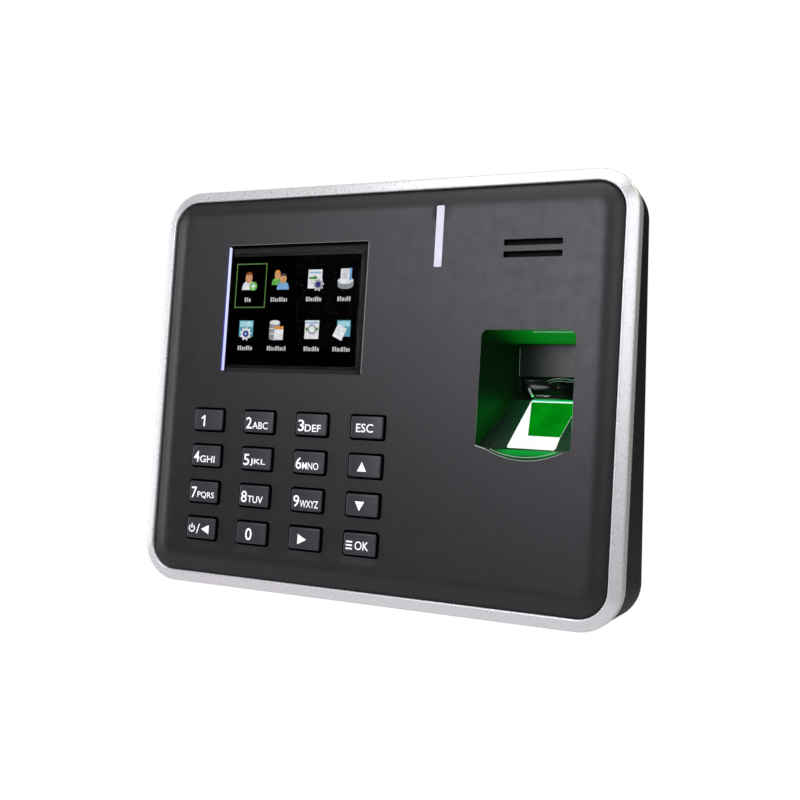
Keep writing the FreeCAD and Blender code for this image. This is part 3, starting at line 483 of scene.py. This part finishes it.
def make_piece(name, points, faces, paints, body="terminal", marks=None):
    """Mesh from face-frame points in millimetres; marks gives each face's paint."""
    mesh = bpy.data.meshes.new(name)
    mesh.from_pydata([at(*p) for p in points], [], faces)
    for paint in paints:
        mesh.materials.append(paint)
    if marks:
        for polygon, mark in zip(mesh.polygons, marks):
            polygon.material_index = mark
    mesh.validate()
    piece = bpy.data.objects.new(name, mesh)
    bpy.context.scene.collection.objects.link(piece)
    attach(piece, body)
    return piece


def turn_faces_out(piece):
    mesh = bmesh.new()
    mesh.from_mesh(piece.data)
    bmesh.ops.recalc_face_normals(mesh, faces=mesh.faces)
    mesh.to_mesh(piece.data)
    mesh.free()


class Build:
    """Collects extruded outlines and round bars into one set of points and faces."""

    def __init__(self):
        self.points = []
        self.faces = []
        self.marks = []

    def extrude(self, outline, shift, mark=0):
        """Closed outline of face-frame points, and the same outline shifted, with walls between."""
        first = len(self.points)
        count = len(outline)
        self.points += list(outline)
        self.points += [tuple(a + b for a, b in zip(p, shift)) for p in outline]
        self.faces.append(list(range(first, first + count)))
        self.faces.append(list(range(first + 2 * count - 1, first + count - 1, -1)))
        for i in range(count):
            j = (i + 1) % count
            self.faces.append([first + i, first + count + i, first + count + j, first + j])
        self.marks += [mark] * (count + 2)

    def plate(self, outline, depth0, depth1, mark=0):
        """Plate of an outline in x and up, from depth0 to depth1."""
        self.extrude([(x, depth0, u) for x, u in outline], (0, depth1 - depth0, 0), mark)

    def tube(self, path, radius, mark=0, closed=False):
        """Round bar along a path of face-frame points."""
        sides = 8
        first = len(self.points)
        count = len(path)
        for i, p in enumerate(path):
            if closed:
                before, after = path[i - 1], path[(i + 1) % count]
            else:
                before, after = path[max(i - 1, 0)], path[min(i + 1, count - 1)]
            ahead = (Vector(after) - Vector(before)).normalized()
            side = ahead.cross(Vector((0, 1, 0)))
            if side.length < 0.1:
                side = ahead.cross(Vector((1, 0, 0)))
            side.normalize()
            other = ahead.cross(side)
            for k in range(sides):
                turn = 2 * math.pi * k / sides
                spoke = math.cos(turn) * side + math.sin(turn) * other
                self.points.append(tuple(Vector(p) + radius * spoke))
        for i in range(count if closed else count - 1):
            a = first + i * sides
            b = first + ((i + 1) % count) * sides
            for k in range(sides):
                m = (k + 1) % sides
                self.faces.append([a + k, a + m, b + m, b + k])
                self.marks.append(mark)
        if not closed:
            self.faces.append([first + k for k in range(sides)][::-1])
            self.faces.append([first + (count - 1) * sides + k for k in range(sides)])
            self.marks += [mark, mark]

    def piece(self, name, paints, slot):
        turn_faces_out(make_piece(name, self.points, self.faces, paints, marks=self.marks))


def oblong(x0, x1, u0, u1):
    """Outline of a rectangle."""
    return [(x0, u0), (x1, u0), (x1, u1), (x0, u1)]


def oval(x, u, rx, ru=None, steps=20, start=0, end=360):
    """Outline of an ellipse, or of a slice of one."""
    ru = rx if ru is None else ru
    count = steps if end - start == 360 else steps + 1
    turns = [math.radians(start + (end - start) * i / steps) for i in range(count)]
    return [(x + rx * math.cos(t), u + ru * math.sin(t)) for t in turns]


# ---------------------------------------------------------------- display
ACTIVE = (-64.25, -6.75, 8.35, 51.35)        # lit area: x low, x high, up low, up high
WINDOW = (-64.3, -2.5, 5.3, 55.4)
MASK_DEPTH = 2.81
IMAGE_DEPTH = 3.5
ICON_X = (-56.3, -42.0, -26.4, -13.3)
ICON_UP = (41.9, 22.4)
LABEL_UP = (34.3, 15.1)
LABEL_WIDTHS = ((3.4, 8.0, 7.4, 6.2), (6.8, 8.4, 6.6, 7.8))
CHOSEN = (-62.5, -48.4, 31.1, 48.8)          # frame round the chosen picture


def off_black(name, color, roughness, shine):
    paint, tree, shader = new_material(name, color, roughness)
    shader.inputs["Specular IOR Level"].default_value = shine
    mottle(tree, shader, "Roughness", 150, roughness * 0.9, roughness * 1.1)
    return paint


def make_screen_mask():
    x0, x1, u0, u1 = WINDOW
    a0, a1, b0, b1 = ACTIVE
    build = Build()
    for outline in (oblong(x0 - 1, x1 + 1, b1, u1 + 1), oblong(x0 - 1, x1 + 1, u0 - 1, b0),
                    oblong(a1, x1 + 1, b0, b1), oblong(x0 - 1, a0, b0, b1)):
        build.plate(outline, MASK_DEPTH, MASK_DEPTH + 0.05)
    paint = off_black("mask_print", (0.008, 0.008, 0.0085), 0.25, 0.12)
    build.piece("screen_mask", [paint], "window_glass")


def make_screen_image():
    a0, a1, b0, b1 = ACTIVE
    build = Build()
    build.plate(oblong(a0 - 0.1, a1 + 0.5, b0 - 0.4, b1 + 0.4), IMAGE_DEPTH, IMAGE_DEPTH + 0.05)
    paint = off_black("dark_display", (0.0005, 0.0005, 0.0006), 0.9, 0.0)
    build.piece("screen_image", [paint], "display_glass")


ICON_COLORS = {
    "skin": (214, 158, 112),
    "hair": (150, 84, 40),
    "dark_hair": (72, 66, 70),
    "white": (232, 236, 240),
    "grey": (150, 152, 158),
    "green": (108, 188, 84),
    "dark_green": (70, 140, 52),
    "blue": (128, 176, 222),
    "teal": (92, 164, 186),
    "pale_teal": (176, 222, 232),
    "navy": (58, 54, 128),
    "orange": (232, 152, 70),
    "line": (92, 132, 72),
    "label": (196, 198, 200),
}


def gear(x, u, r):
    """Outline of a toothed wheel: nine teeth, each with two corners out and two in."""
    outline = []
    corners = 9 * 4
    for i in range(corners):
        turn = 2 * math.pi * i / corners
        reach = r if i % 4 in (0, 1) else r * 0.74
        outline.append((x + reach * math.cos(turn), u + reach * math.sin(turn)))
    return outline


def tilted(outline, x, u, degrees):
    """Outline turned about a point."""
    c = math.cos(math.radians(degrees))
    s = math.sin(math.radians(degrees))
    return [(x + (a - x) * c - (b - u) * s, u + (a - x) * s + (b - u) * c) for a, b in outline]


def person(x, u, size, hair, shirt):
    """Head and shoulders, as shapes of outline, colour and layer."""
    return [
        (oval(x, u - 2.0 * size, 2.3 * size, 2.3 * size, 16, 0, 180), shirt, 1),
        (oblong(x - 2.3 * size, x + 2.3 * size, u - 2.6 * size, u - 2.0 * size), shirt, 1),
        (oval(x, u + 1.1 * size, 1.25 * size, 1.65 * size), "skin", 2),
        (oval(x, u + 1.5 * size, 1.35 * size, 1.5 * size, 14, 20, 160), hair, 3),
    ]


def box_about(x, u, left, right, low, high):
    """Rectangle by how far its sides lie from a point."""
    return oblong(x + left, x + right, u + low, u + high)


def user_picture(x, u):
    return person(x - 0.2, u - 0.3, 1.28, "hair", "white") + [
        (oval(x + 2.0, u - 2.2, 1.8), "green", 4),
        (box_about(x, u, 0.9, 3.1, -2.5, -1.9), "white", 5),
        (box_about(x, u, 1.7, 2.3, -3.3, -1.1), "white", 5),
    ]


def staff_picture(x, u):
    front = person(x + 1.3, u - 0.7, 1.15, "dark_hair", "blue")
    return person(x - 1.4, u + 0.9, 1.05, "orange", "green") + [(o, c, n + 4) for o, c, n in front]


def shift_picture(x, u):
    return [
        (box_about(x, u, -3.2, 2.9, -3.4, 3.9), "white", 1),
        (box_about(x, u, -2.6, 2.3, 2.5, 3.0), "blue", 2),
        (box_about(x, u, -2.7, -0.3, 0.2, 1.1), "dark_green", 2),
        ([(x - 0.5, u - 0.5), (x + 1.1, u + 0.65), (x - 0.5, u + 1.8)], "dark_green", 2),
        (gear(x + 1.3, u - 1.9, 2.6), "white", 3),
        (gear(x + 1.3, u - 1.9, 2.1), "grey", 4),
        (oval(x + 1.3, u - 1.9, 1.1), "navy", 5),
    ]


def printer_picture(x, u):
    lines = [(box_about(x, u + 0.9 * row, -1.7, 1.0, 0.3, 0.5), "grey", 5) for row in range(4)]
    return [
        (box_about(x, u, -3.3, 3.4, -2.4, -0.6), "grey", 1),
        (oval(x, u - 2.4, 3.35, 1.4), "grey", 1),
        (oval(x, u - 0.6, 3.35, 1.3), "white", 2),
        (box_about(x, u, -2.2, 2.3, -0.7, 4.0), "white", 3),
        (box_about(x, u, 1.5, 2.5, -0.5, 4.2), "blue", 4),
    ] + lines


def system_picture(x, u):
    return [
        (box_about(x, u, -3.2, 3.3, -2.8, 3.7), "teal", 1),
        (box_about(x, u, -2.8, 2.9, 1.2, 3.3), "pale_teal", 2),
        (gear(x, u - 1.6, 2.7), "white", 3),
        (oval(x, u - 1.6, 1.35), "navy", 4),
        (oval(x, u - 1.6, 0.6), "blue", 5),
    ]


def data_picture(x, u):
    return [
        (box_about(x, u, -3.5, 1.1, -3.3, 2.8), "grey", 1),
        (oval(x - 1.2, u - 3.3, 2.3, 0.8), "grey", 1),
        (oval(x - 1.2, u + 2.9, 2.3, 0.9), "white", 2),
        (box_about(x, u, -3.5, 1.1, 0.4, 0.7), "white", 2),
        (box_about(x, u, -3.5, 1.1, -1.7, -1.4), "white", 2),
        (box_about(x, u, -1.2, 2.8, -3.9, 1.2), "white", 3),
        (box_about(x, u, -1.2, 2.8, 0.2, 1.4), "orange", 4),
    ]


def record_picture(x, u):
    return [
        (box_about(x, u, -3.2, 2.9, -3.4, 3.7), "white", 1),
        (box_about(x, u, -2.7, 2.4, 2.5, 3.1), "blue", 2),
        (box_about(x, u, -2.9, 2.6, -0.2, 0.9), "dark_green", 2),
        (oval(x - 0.1, u + 0.3, 1.9), "grey", 3),
        (oval(x - 0.1, u + 0.3, 1.3), "white", 4),
    ]


def paper_picture(x, u):
    return [
        (box_about(x, u, -2.4, 3.3, -2.4, 3.8), "teal", 1),
        (box_about(x, u, -2.0, 2.9, 1.4, 3.4), "pale_teal", 2),
        (tilted(box_about(x, u, -3.3, 1.0, -3.4, 1.6), x - 1.0, u - 0.9, -25), "white", 3),
    ]


PICTURES = (
    (user_picture, staff_picture, shift_picture, printer_picture),
    (system_picture, data_picture, record_picture, paper_picture),
)


def label_blocks(x, up, width):
    """Row of small blocks where a caption would stand."""
    blocks = []
    here = x - width / 2
    step = 0
    while here < x + width / 2 - 0.5:
        wide = (0.75, 0.6, 0.85, 0.45)[step % 4]
        tall = (1.75, 1.3, 1.3, 1.75)[(step * 3) % 4]
        blocks.append(oblong(here, here + wide, up - 0.8, up - 0.8 + tall))
        here += wide + 0.3
        step += 1
    return blocks


def make_screen_icons():
    names = list(ICON_COLORS)
    paints = []
    for name in names:
        color = linear(*ICON_COLORS[name])
        paint, tree, shader = new_material("screen_" + name, (0.0, 0.0, 0.0), 0.9)
        shader.inputs["Specular IOR Level"].default_value = 0.0
        shader.inputs["Emission Color"].default_value = (*color, 1)
        mottle(tree, shader, "Emission Strength", 700, 0.75, 1.1)
        paints.append(paint)
    shapes = []
    for up, row in zip(ICON_UP, PICTURES):
        for x, picture in zip(ICON_X, row):
            shapes += picture(x, up)
    for up, widths in zip(LABEL_UP, LABEL_WIDTHS):
        for x, width in zip(ICON_X, widths):
            shapes += [(block, "label", 1) for block in label_blocks(x + 0.1, up, width)]
    x0, x1, u0, u1 = CHOSEN
    line = 0.42
    for outline in (oblong(x0, x1, u0, u0 + line), oblong(x0, x1, u1 - line, u1),
                    oblong(x0, x0 + line, u0, u1), oblong(x1 - line, x1, u0, u1)):
        shapes.append((outline, "line", 1))
    build = Build()
    for outline, color, layer in shapes:
        build.plate(outline, IMAGE_DEPTH - 0.02 * layer, IMAGE_DEPTH + 0.01, names.index(color))
    build.piece("screen_icons", paints, "display_glass")


def make_window_glow():
    """Light that leaks from the display along the window's left wall, painted as a glowing strip, with a
    painted blue halo on the cover beside it and painted highlights along the window's top and right edges.
    """
    x0, x1, u0, u1 = WINDOW
    build = Build()
    build.plate(oblong(x0, x0 + 0.12, u0 + 0.35, u1 - 0.35), 0.25, 1.8)
    paint, tree, shader = new_material("window_glow", (0.5, 0.5, 0.6), 0.3)
    shader.inputs["Emission Color"].default_value = (*linear(196, 200, 252), 1)
    strength = step_up(tree, place_along(tree, UP, MIDDLE), 5.0, 55.0, 0.95, 1.15)
    tree.links.new(strength, shader.inputs["Emission Strength"])
    build.piece("window_edge_light", [paint], "window_glass")
    rim = Build()
    # painted light: a blue halo on the cover beside the window's left edge, stronger low down
    rim.plate(oblong(x0 - 0.35, x0 + 0.05, u0 + 0.3, u1 - 0.6), -0.03, 0.02)
    halo, tree, shader = new_material("window_halo", (0.02, 0.02, 0.04), 0.4)
    shader.inputs["Emission Color"].default_value = (*linear(60, 58, 190), 1)
    strength = step_up(tree, place_along(tree, UP, MIDDLE), 52.0, 20.0, 0.05, 0.75)
    tree.links.new(strength, shader.inputs["Emission Strength"])
    rim.piece("window_edge_halo", [halo], "window_glass")
    # painted highlights: light lines along the window's top and right edges
    top = Build()
    top.plate(oblong(x0 + 0.6, x1 - 0.4, u1 - 0.05, u1 + 0.16), -0.03, 0.02)
    top.plate(oblong(x1 - 0.3, x1 + 0.1, u0 + 0.5, u1 - 0.3), -0.02, 0.02)
    light = plain("painted_edge_highlight", (0.12, 0.12, 0.125), (0.2, 0.2, 0.21), 0.3)
    top.piece("window_rim", [light], "cover_plastic")


# ---------------------------------------------------------------- keypad legends
LETTER_BASE = -2.65                          # foot of the figures, from the key's middle
LETTER_SHIFT = 0.4                           # how far all legends stand to the right
LETTER_BOLD = 0.011
FIGURE_HIGH = 4.4
PRINT_LIFT = 0.02                            # the print stands this far off the key
KEY_GROUPS = {
    "key_2": "ABC",
    "key_3": "DEF",
    "key_4": "GHI",
    "key_5": "JKL",
    "key_6": "MNO",
    "key_7": "PQRS",
    "key_8": "TUV",
    "key_9": "WXYZ",
}


def letters(text, left, base, width, height):
    """Outline points and triangles of a word, fitted to a box."""
    curve = bpy.data.curves.new("word", "FONT")
    curve.body = text
    curve.offset = LETTER_BOLD
    curve.resolution_u = 3
    holder = bpy.data.objects.new("word", curve)
    bpy.context.scene.collection.objects.link(holder)
    bpy.context.view_layer.update()
    mesh = bpy.data.meshes.new_from_object(holder.evaluated_get(bpy.context.evaluated_depsgraph_get()))
    bpy.data.objects.remove(holder)
    bpy.data.curves.remove(curve)
    xs = [v.co.x for v in mesh.vertices]
    ys = [v.co.y for v in mesh.vertices]
    sx = width / (max(xs) - min(xs))
    sy = height / (max(ys) - min(ys))
    points = [(left + (v.co.x - min(xs)) * sx, base + (v.co.y - min(ys)) * sy) for v in mesh.vertices]
    faces = [list(p.vertices) for p in mesh.polygons]
    bpy.data.meshes.remove(mesh)
    return points, faces


def make_legend(key, words, shapes, paint):
    """Print on a key, of words as (text, left, base, width, height) and of plain outlines."""
    x, u, d = front_middle(key)
    x += LETTER_SHIFT
    points = []
    faces = []
    for text, left, base, width, height in words:
        flat, triangles = letters(text, x + left, u + base, width, height)
        first = len(points)
        points += [(a, d - PRINT_LIFT, b) for a, b in flat]
        faces += [[first + i for i in triangle] for triangle in triangles]
    for outline in shapes:
        first = len(points)
        points += [(x + a, d - PRINT_LIFT, u + b) for a, b in outline]
        faces.append(list(range(first, first + len(outline))))
    make_piece("legend_" + key, points, faces, [paint], key)


def ring_shapes(x, u, r, thick, start, end, steps=14):
    """Quads that make up a part of a ring."""
    outer = oval(x, u, r, r, steps, start, end)
    inner = oval(x, u, r - thick, r - thick, steps, start, end)
    return [[inner[i], outer[i], outer[i + 1], inner[i + 1]] for i in range(steps)]


def make_legends():
    paint, tree, shader = new_material("legend_white", (0.86, 0.87, 0.88), 0.45)
    tint(tree, shader, 2500, (0.8, 0.81, 0.83), (0.9, 0.91, 0.92))
    # painted light: the print glows faintly on top of what the lamps give
    shader.inputs["Emission Color"].default_value = (1, 1, 1, 1)
    shader.inputs["Emission Strength"].default_value = 0.35
    for key, group in KEY_GROUPS.items():
        figure = (key[-1], -6.0, LETTER_BASE, 2.6, FIGURE_HIGH)
        group_width = 7.8 if len(group) == 4 else 6.9
        make_legend(key, [figure, (group, -3.1, LETTER_BASE, group_width, 2.7)], [], paint)
    base, top = LETTER_BASE, LETTER_BASE + FIGURE_HIGH
    one = [[(-1.9, base), (-1.9, top), (-2.5, top), (-2.7, base)],
           [(-2.5, top), (-3.1, base + 3.7), (-3.7, base + 3.4), (-3.7, base + 2.7), (-2.6, base + 3.2)]]
    make_legend("key_1", [], one, paint)
    make_legend("key_0", [("0", -3.0, -2.8, 2.9, 4.7)], [], paint)
    make_legend("key_esc", [("ESC", -4.7, -1.9, 7.0, 3.2)], [], paint)
    bars = [oblong(-5.9, -3.3, b, b + 0.6) for b in (-2.1, -0.85, 0.4)]
    make_legend("key_menu_ok", [("OK", -2.3, -2.1, 5.6, 3.2)], bars, paint)
    make_legend("key_up", [], [[(-3.3, -2.0), (0.5, -2.0), (-1.4, 1.5)]], paint)
    make_legend("key_down", [], [[(-3.3, 1.3), (-1.4, -2.2), (0.5, 1.3)]], paint)
    make_legend("key_right", [], [[(-3.1, -2.3), (0.6, -0.35), (-3.1, 1.6)]], paint)
    symbol = ring_shapes(-4.6, -0.3, 1.5, 0.5, 125, 415) + [oblong(-4.85, -4.35, -0.2, 1.6)]
    symbol.append([(-2.6, -2.2), (-2.1, -2.2), (-0.9, 1.6), (-1.4, 1.6)])
    symbol.append([(3.3, -2.1), (3.3, 1.5), (-0.3, -0.3)])
    make_legend("key_power_left", [], symbol, paint)


# ---------------------------------------------------------------- finger well
SLOPE_START = (1.2, -18.9)                   # the sloping floor, as depth and up
SLOPE_END = (16.5, -0.6)
PLATEN_LIFT = 0.3                            # the platen's face stands this far off the slope
SENT_GREEN = 9.0                             # light that the platen throws onto the well
# The platen's lit face and the green area on it, as x and the way along the slope; the white border round
# the green is a painted reflection of the sensor's light in the prism.
PLATEN = ((54.9, 0.55), (71.3, 0.45), (71.9, 1.2), (72.3, 6.25), (74.3, 16.1), (75.4, 22.9), (58.24, 22.86),
          (54.75, 1.3))
PLATEN_GREEN = ((60.96, 6.36), (72.32, 6.25), (74.32, 16.1), (75.42, 22.4), (58.5, 22.35))
FLOOR = ((44.7, 0.4), (76.9, 0.4), (75.7, 23.4), (51.6, 23.4))
LEDGE_BACK = 19.2                            # depth of the step's back
LEDGE_LEFT = 53.0
LEDGE_RIGHT = 75.9
# Section of the step that the finger tip stops on, as depth and up.
LEDGE = ((15.35, -0.9), (15.6, 1.3), (16.1, 2.0), (16.9, 2.35), (17.5, 3.1), (17.75, 4.2), (18.1, 5.3),
         (18.75, 6.6), (19.15, 8.0), (19.2, 2.0), (17.5, -0.9))
OPENING = (43.5, 77.6, -18.9, 22.5)          # the well's mouth: x low, x high, sill, top


def on_slope(x, along, lift):
    """Face-frame point on the sloping floor, lifted off it by lift."""
    run = SLOPE_END[0] - SLOPE_START[0]
    rise = SLOPE_END[1] - SLOPE_START[1]
    length = math.hypot(run, rise)
    return (x, SLOPE_START[0] + (run * along - rise * lift) / length,
            SLOPE_START[1] + (rise * along + run * lift) / length)


def slab_on_slope(build, outline, low, high, mark=0):
    """Slab of an outline on the slope, between two lifts."""
    down = tuple(a - b for a, b in zip(on_slope(0, 0, low), on_slope(0, 0, high)))
    build.extrude([on_slope(x, along, high) for x, along in outline], down, mark)


def well_black(name, rough, glow=0.0):
    paint, tree, shader = new_material(name, (0.003, 0.006, 0.004), rough)
    tint(tree, shader, 500, (0.002, 0.005, 0.003), (0.004, 0.008, 0.005))
    mottle(tree, shader, "Roughness", 250, rough * 0.85, rough * 1.15)
    # painted light: with a glow, the surface gets a green glow of the platen's light, stronger to the right,
    # and less shine
    if glow:
        shader.inputs["Specular IOR Level"].default_value = 0.04
        shader.inputs["Emission Color"].default_value = (0.003, 0.035, 0.011, 1)
        strength = step_up(tree, place_along(tree, RIGHT, 0.0), 46.0, 60.0, 0.12, glow)
        tree.links.new(strength, shader.inputs["Emission Strength"])
    return paint


def green_source(name, seen, low, high, power):
    """Surface of one colour to the eye that throws green light onto its surroundings."""
    paint, tree, shader = new_material(name, (0.01, 0.03, 0.01), 0.1)
    shader.inputs["Emission Color"].default_value = (0.0, 1.0, 0.12, 1)
    shader.inputs["Emission Strength"].default_value = power
    seen_as(tree, shader, seen, low, high)
    return paint


def make_platen():
    build = Build()
    slab_on_slope(build, PLATEN, 0.05, PLATEN_LIFT)
    slab_on_slope(build, PLATEN_GREEN, PLATEN_LIFT, PLATEN_LIFT + 0.04, 1)
    # painted reflection: the white border is the sensor's light seen in the prism, fixed in place; the green
    # is the sensor's own glow
    white = green_source("platen_white", linear(250, 255, 250), 1.0, 1.15, SENT_GREEN)
    green = green_source("platen_green", linear(2, 134, 18), 0.8, 1.15, SENT_GREEN)
    build.piece("platen", [white, green], "prism_glass")
    # painted highlight: a bright cyan-white line along the platen's top edge
    line = Build()
    line.tube([on_slope(58.6, 23.0, PLATEN_LIFT + 0.15), on_slope(75.3, 23.0, PLATEN_LIFT + 0.15)], 0.26)
    edge = green_source("edge_light", linear(130, 245, 220), 0.8, 1.1, 2.0)
    line.piece("platen_top_edge", [edge], "prism_glass")


def make_well_floor():
    """Glossy floor round the platen, with the two ribs that guide the finger, and a painted green glow of
    the platen's light on it.
    """
    build = Build()
    slab_on_slope(build, FLOOR, 0.02, 0.12)
    build.tube([on_slope(44.75, 1.2, 0.15), on_slope(49.6, 23.3, 0.15)], 0.3)
    build.tube([on_slope(48.04, 0.8, 0.12), on_slope(51.72, 23.2, 0.12)], 0.22)
    build.piece("well_floor", [well_black("floor_black", 0.3, 0.9)], "gloss_black")


def make_well_ledge():
    """Polished step at the head of the platen, its left end cut back at a slant and bevelled."""
    slant = [(LEDGE_LEFT + (LEDGE_BACK - d) * 1.6, d, u) for d, u in LEDGE]
    points = [(x, min(d + 0.35, LEDGE_BACK), u - 0.35) for x, d, u in slant]
    points += [(x + 1.2, d, u) for x, d, u in slant]
    points += [(LEDGE_RIGHT, d, u) for d, u in LEDGE]
    count = len(LEDGE)
    faces = [list(range(count)), list(range(3 * count - 1, 2 * count - 1, -1))]
    for row in range(2):
        for i in range(count):
            j = (i + 1) % count
            faces.append([row * count + i, row * count + j, (row + 1) * count + j, (row + 1) * count + i])
    ledge = make_piece("well_ledge", points, faces, [well_black("ledge_black", 0.12)])
    turn_faces_out(ledge)
    for polygon in ledge.data.polygons:
        polygon.use_smooth = True


def arc_through(start, middle, end, steps=28):
    """Points of the circular arc through three points in x and up."""
    (ax, ay), (bx, by), (cx, cy) = start, middle, end
    d = 2 * (ax * (by - cy) + bx * (cy - ay) + cx * (ay - by))
    sa, sb, sc = ax * ax + ay * ay, bx * bx + by * by, cx * cx + cy * cy
    x = (sa * (by - cy) + sb * (cy - ay) + sc * (ay - by)) / d
    u = (sa * (cx - bx) + sb * (ax - cx) + sc * (bx - ax)) / d
    r = math.hypot(ax - x, ay - u)
    first = math.atan2(ay - u, ax - x)
    last = math.atan2(cy - u, cx - x)
    return [(x + r * math.cos(first + (last - first) * i / steps),
             u + r * math.sin(first + (last - first) * i / steps)) for i in range(steps + 1)]


def make_well_sill():
    """Curved sill in front of the platen, with a painted green glow of the platen's light, brightest along
    its top and fading to the left.
    """
    arc = arc_through((47.6, -19.0), (60.55, -22.3), (73.9, -19.0))
    build = Build()
    build.plate(arc, 0.02, 0.07)
    paint, tree, shader = new_material("lit_sill", (0.002, 0.01, 0.004), 0.4)
    shader.inputs["Specular IOR Level"].default_value = 0.05
    # painted light: green glow, brightest along the top of the sill and to the right
    shader.inputs["Emission Color"].default_value = (*linear(0, 150, 48), 1)
    drop = step_up(tree, place_along(tree, UP, MIDDLE), -22.4, -19.6, 0.1, 1.0)
    left = step_up(tree, place_along(tree, RIGHT, 0.0), 50.0, 56.0, 0.05, 1.0)
    tree.links.new(math_node(tree, "MULTIPLY", drop, left), shader.inputs["Emission Strength"])
    build.piece("well_sill", [paint], "gloss_black")


def make_well_lip():
    """Painted highlights on the edge of the finger opening: a faint line all round, with brighter lines
    doubled along the curved sill.
    """
    left, right, sill, top = OPENING
    arc = arc_through((left + 4.0, sill - 0.4), (60.55, -22.6), (right - 3.0, sill - 0.4))
    r = 2.5
    outline = [(left, sill + 0.6)] + arc + [(right, sill + 0.6), (right, top - r)]
    outline += oval(right - r, top - r, r, r, 6, 0, 90)[1:]
    outline += oval(left + r, top - r, r, r, 6, 90, 180)
    build = Build()
    build.tube([(x, 0.12, u) for x, u in outline], 0.13, closed=True)
    build.tube([(x, 0.0, u) for x, u in arc], 0.11, mark=1)
    inner = arc_through((left + 5.6, sill - 0.3), (60.55, -21.5), (right - 5.4, sill - 0.3))
    build.tube([(x, 0.0, u) for x, u in inner], 0.13, mark=1)
    corner = [(left + 0.1, 0.0, sill + 0.6), (left + 1.6, 0.0, sill + 0.2), (left + 4.0, 0.0, sill - 0.4)]
    build.tube(corner, 0.2, mark=1)
    # painted highlights: a faint line all round the opening and brighter lines along the sill
    dark = plain("lip_faint_highlight", (0.09, 0.1, 0.095), (0.14, 0.15, 0.145), 0.25)
    bright = plain("lip_painted_highlight", (0.3, 0.38, 0.34), (0.5, 0.6, 0.54), 0.2)
    build.piece("well_lip", [dark, bright], "gloss_black")


def make_well_glints():
    """Painted highlights and lamp reflections inside the well, each a path and a radius."""
    glints = (
        ([(62.0, 0.7, 21.75), (67.0, 0.7, 21.75), (76.4, 0.7, 21.75)], 0.13),                 # ceiling
        ([(51.9, 19.05, 19.0), (52.2, 19.05, 8.2)], 0.06),                                    # back corner
        ([(58.9, 15.2, 0.5), (58.2, 15.5, 1.4), (57.4, 16.1, 2.6), (57.0, 16.5, 3.4)], 0.45),  # step's end
        ([(62.9, 18.6, 6.3), (64.5, 18.75, 7.0), (66.5, 18.9, 7.4), (69.5, 18.85, 7.35),
          (72.6, 18.8, 6.9)], 0.12),                                                          # step's top
        ([(63.6, 18.35, 5.6), (65.2, 18.55, 6.3), (67.0, 18.65, 6.6), (72.8, 18.55, 6.2)], 0.09),
    )
    build = Build()
    for path, radius in glints:
        build.tube(path, radius)
    build.piece("well_glints", [plain("glint", (0.3, 0.42, 0.38), (0.5, 0.6, 0.56), 0.25)], "gloss_black")


def make_speaker_cloth():
    """Dark cloth behind the speaker slots."""
    x, u, _ = front_middle("speaker_gasket")
    build = Build()
    build.plate(oval(x, u, 12.0, 12.0, 40), 2.45, 2.6)
    paint = plain("speaker_cloth", (0.0015, 0.0015, 0.0015), (0.004, 0.004, 0.004), 0.9, 0.0, 2200, 0.0001)
    build.piece("speaker_cloth", [paint], "foam")


make_camera()
make_world()
make_lights()
make_floor()
paint_frame()
make_screen_mask()
make_screen_image()
make_screen_icons()
make_window_glow()
make_legends()
make_platen()
make_well_floor()
make_well_ledge()
make_well_sill()
make_well_lip()
make_well_glints()
make_speaker_cloth()
bpy.context.scene.view_settings.view_transform = "Standard"
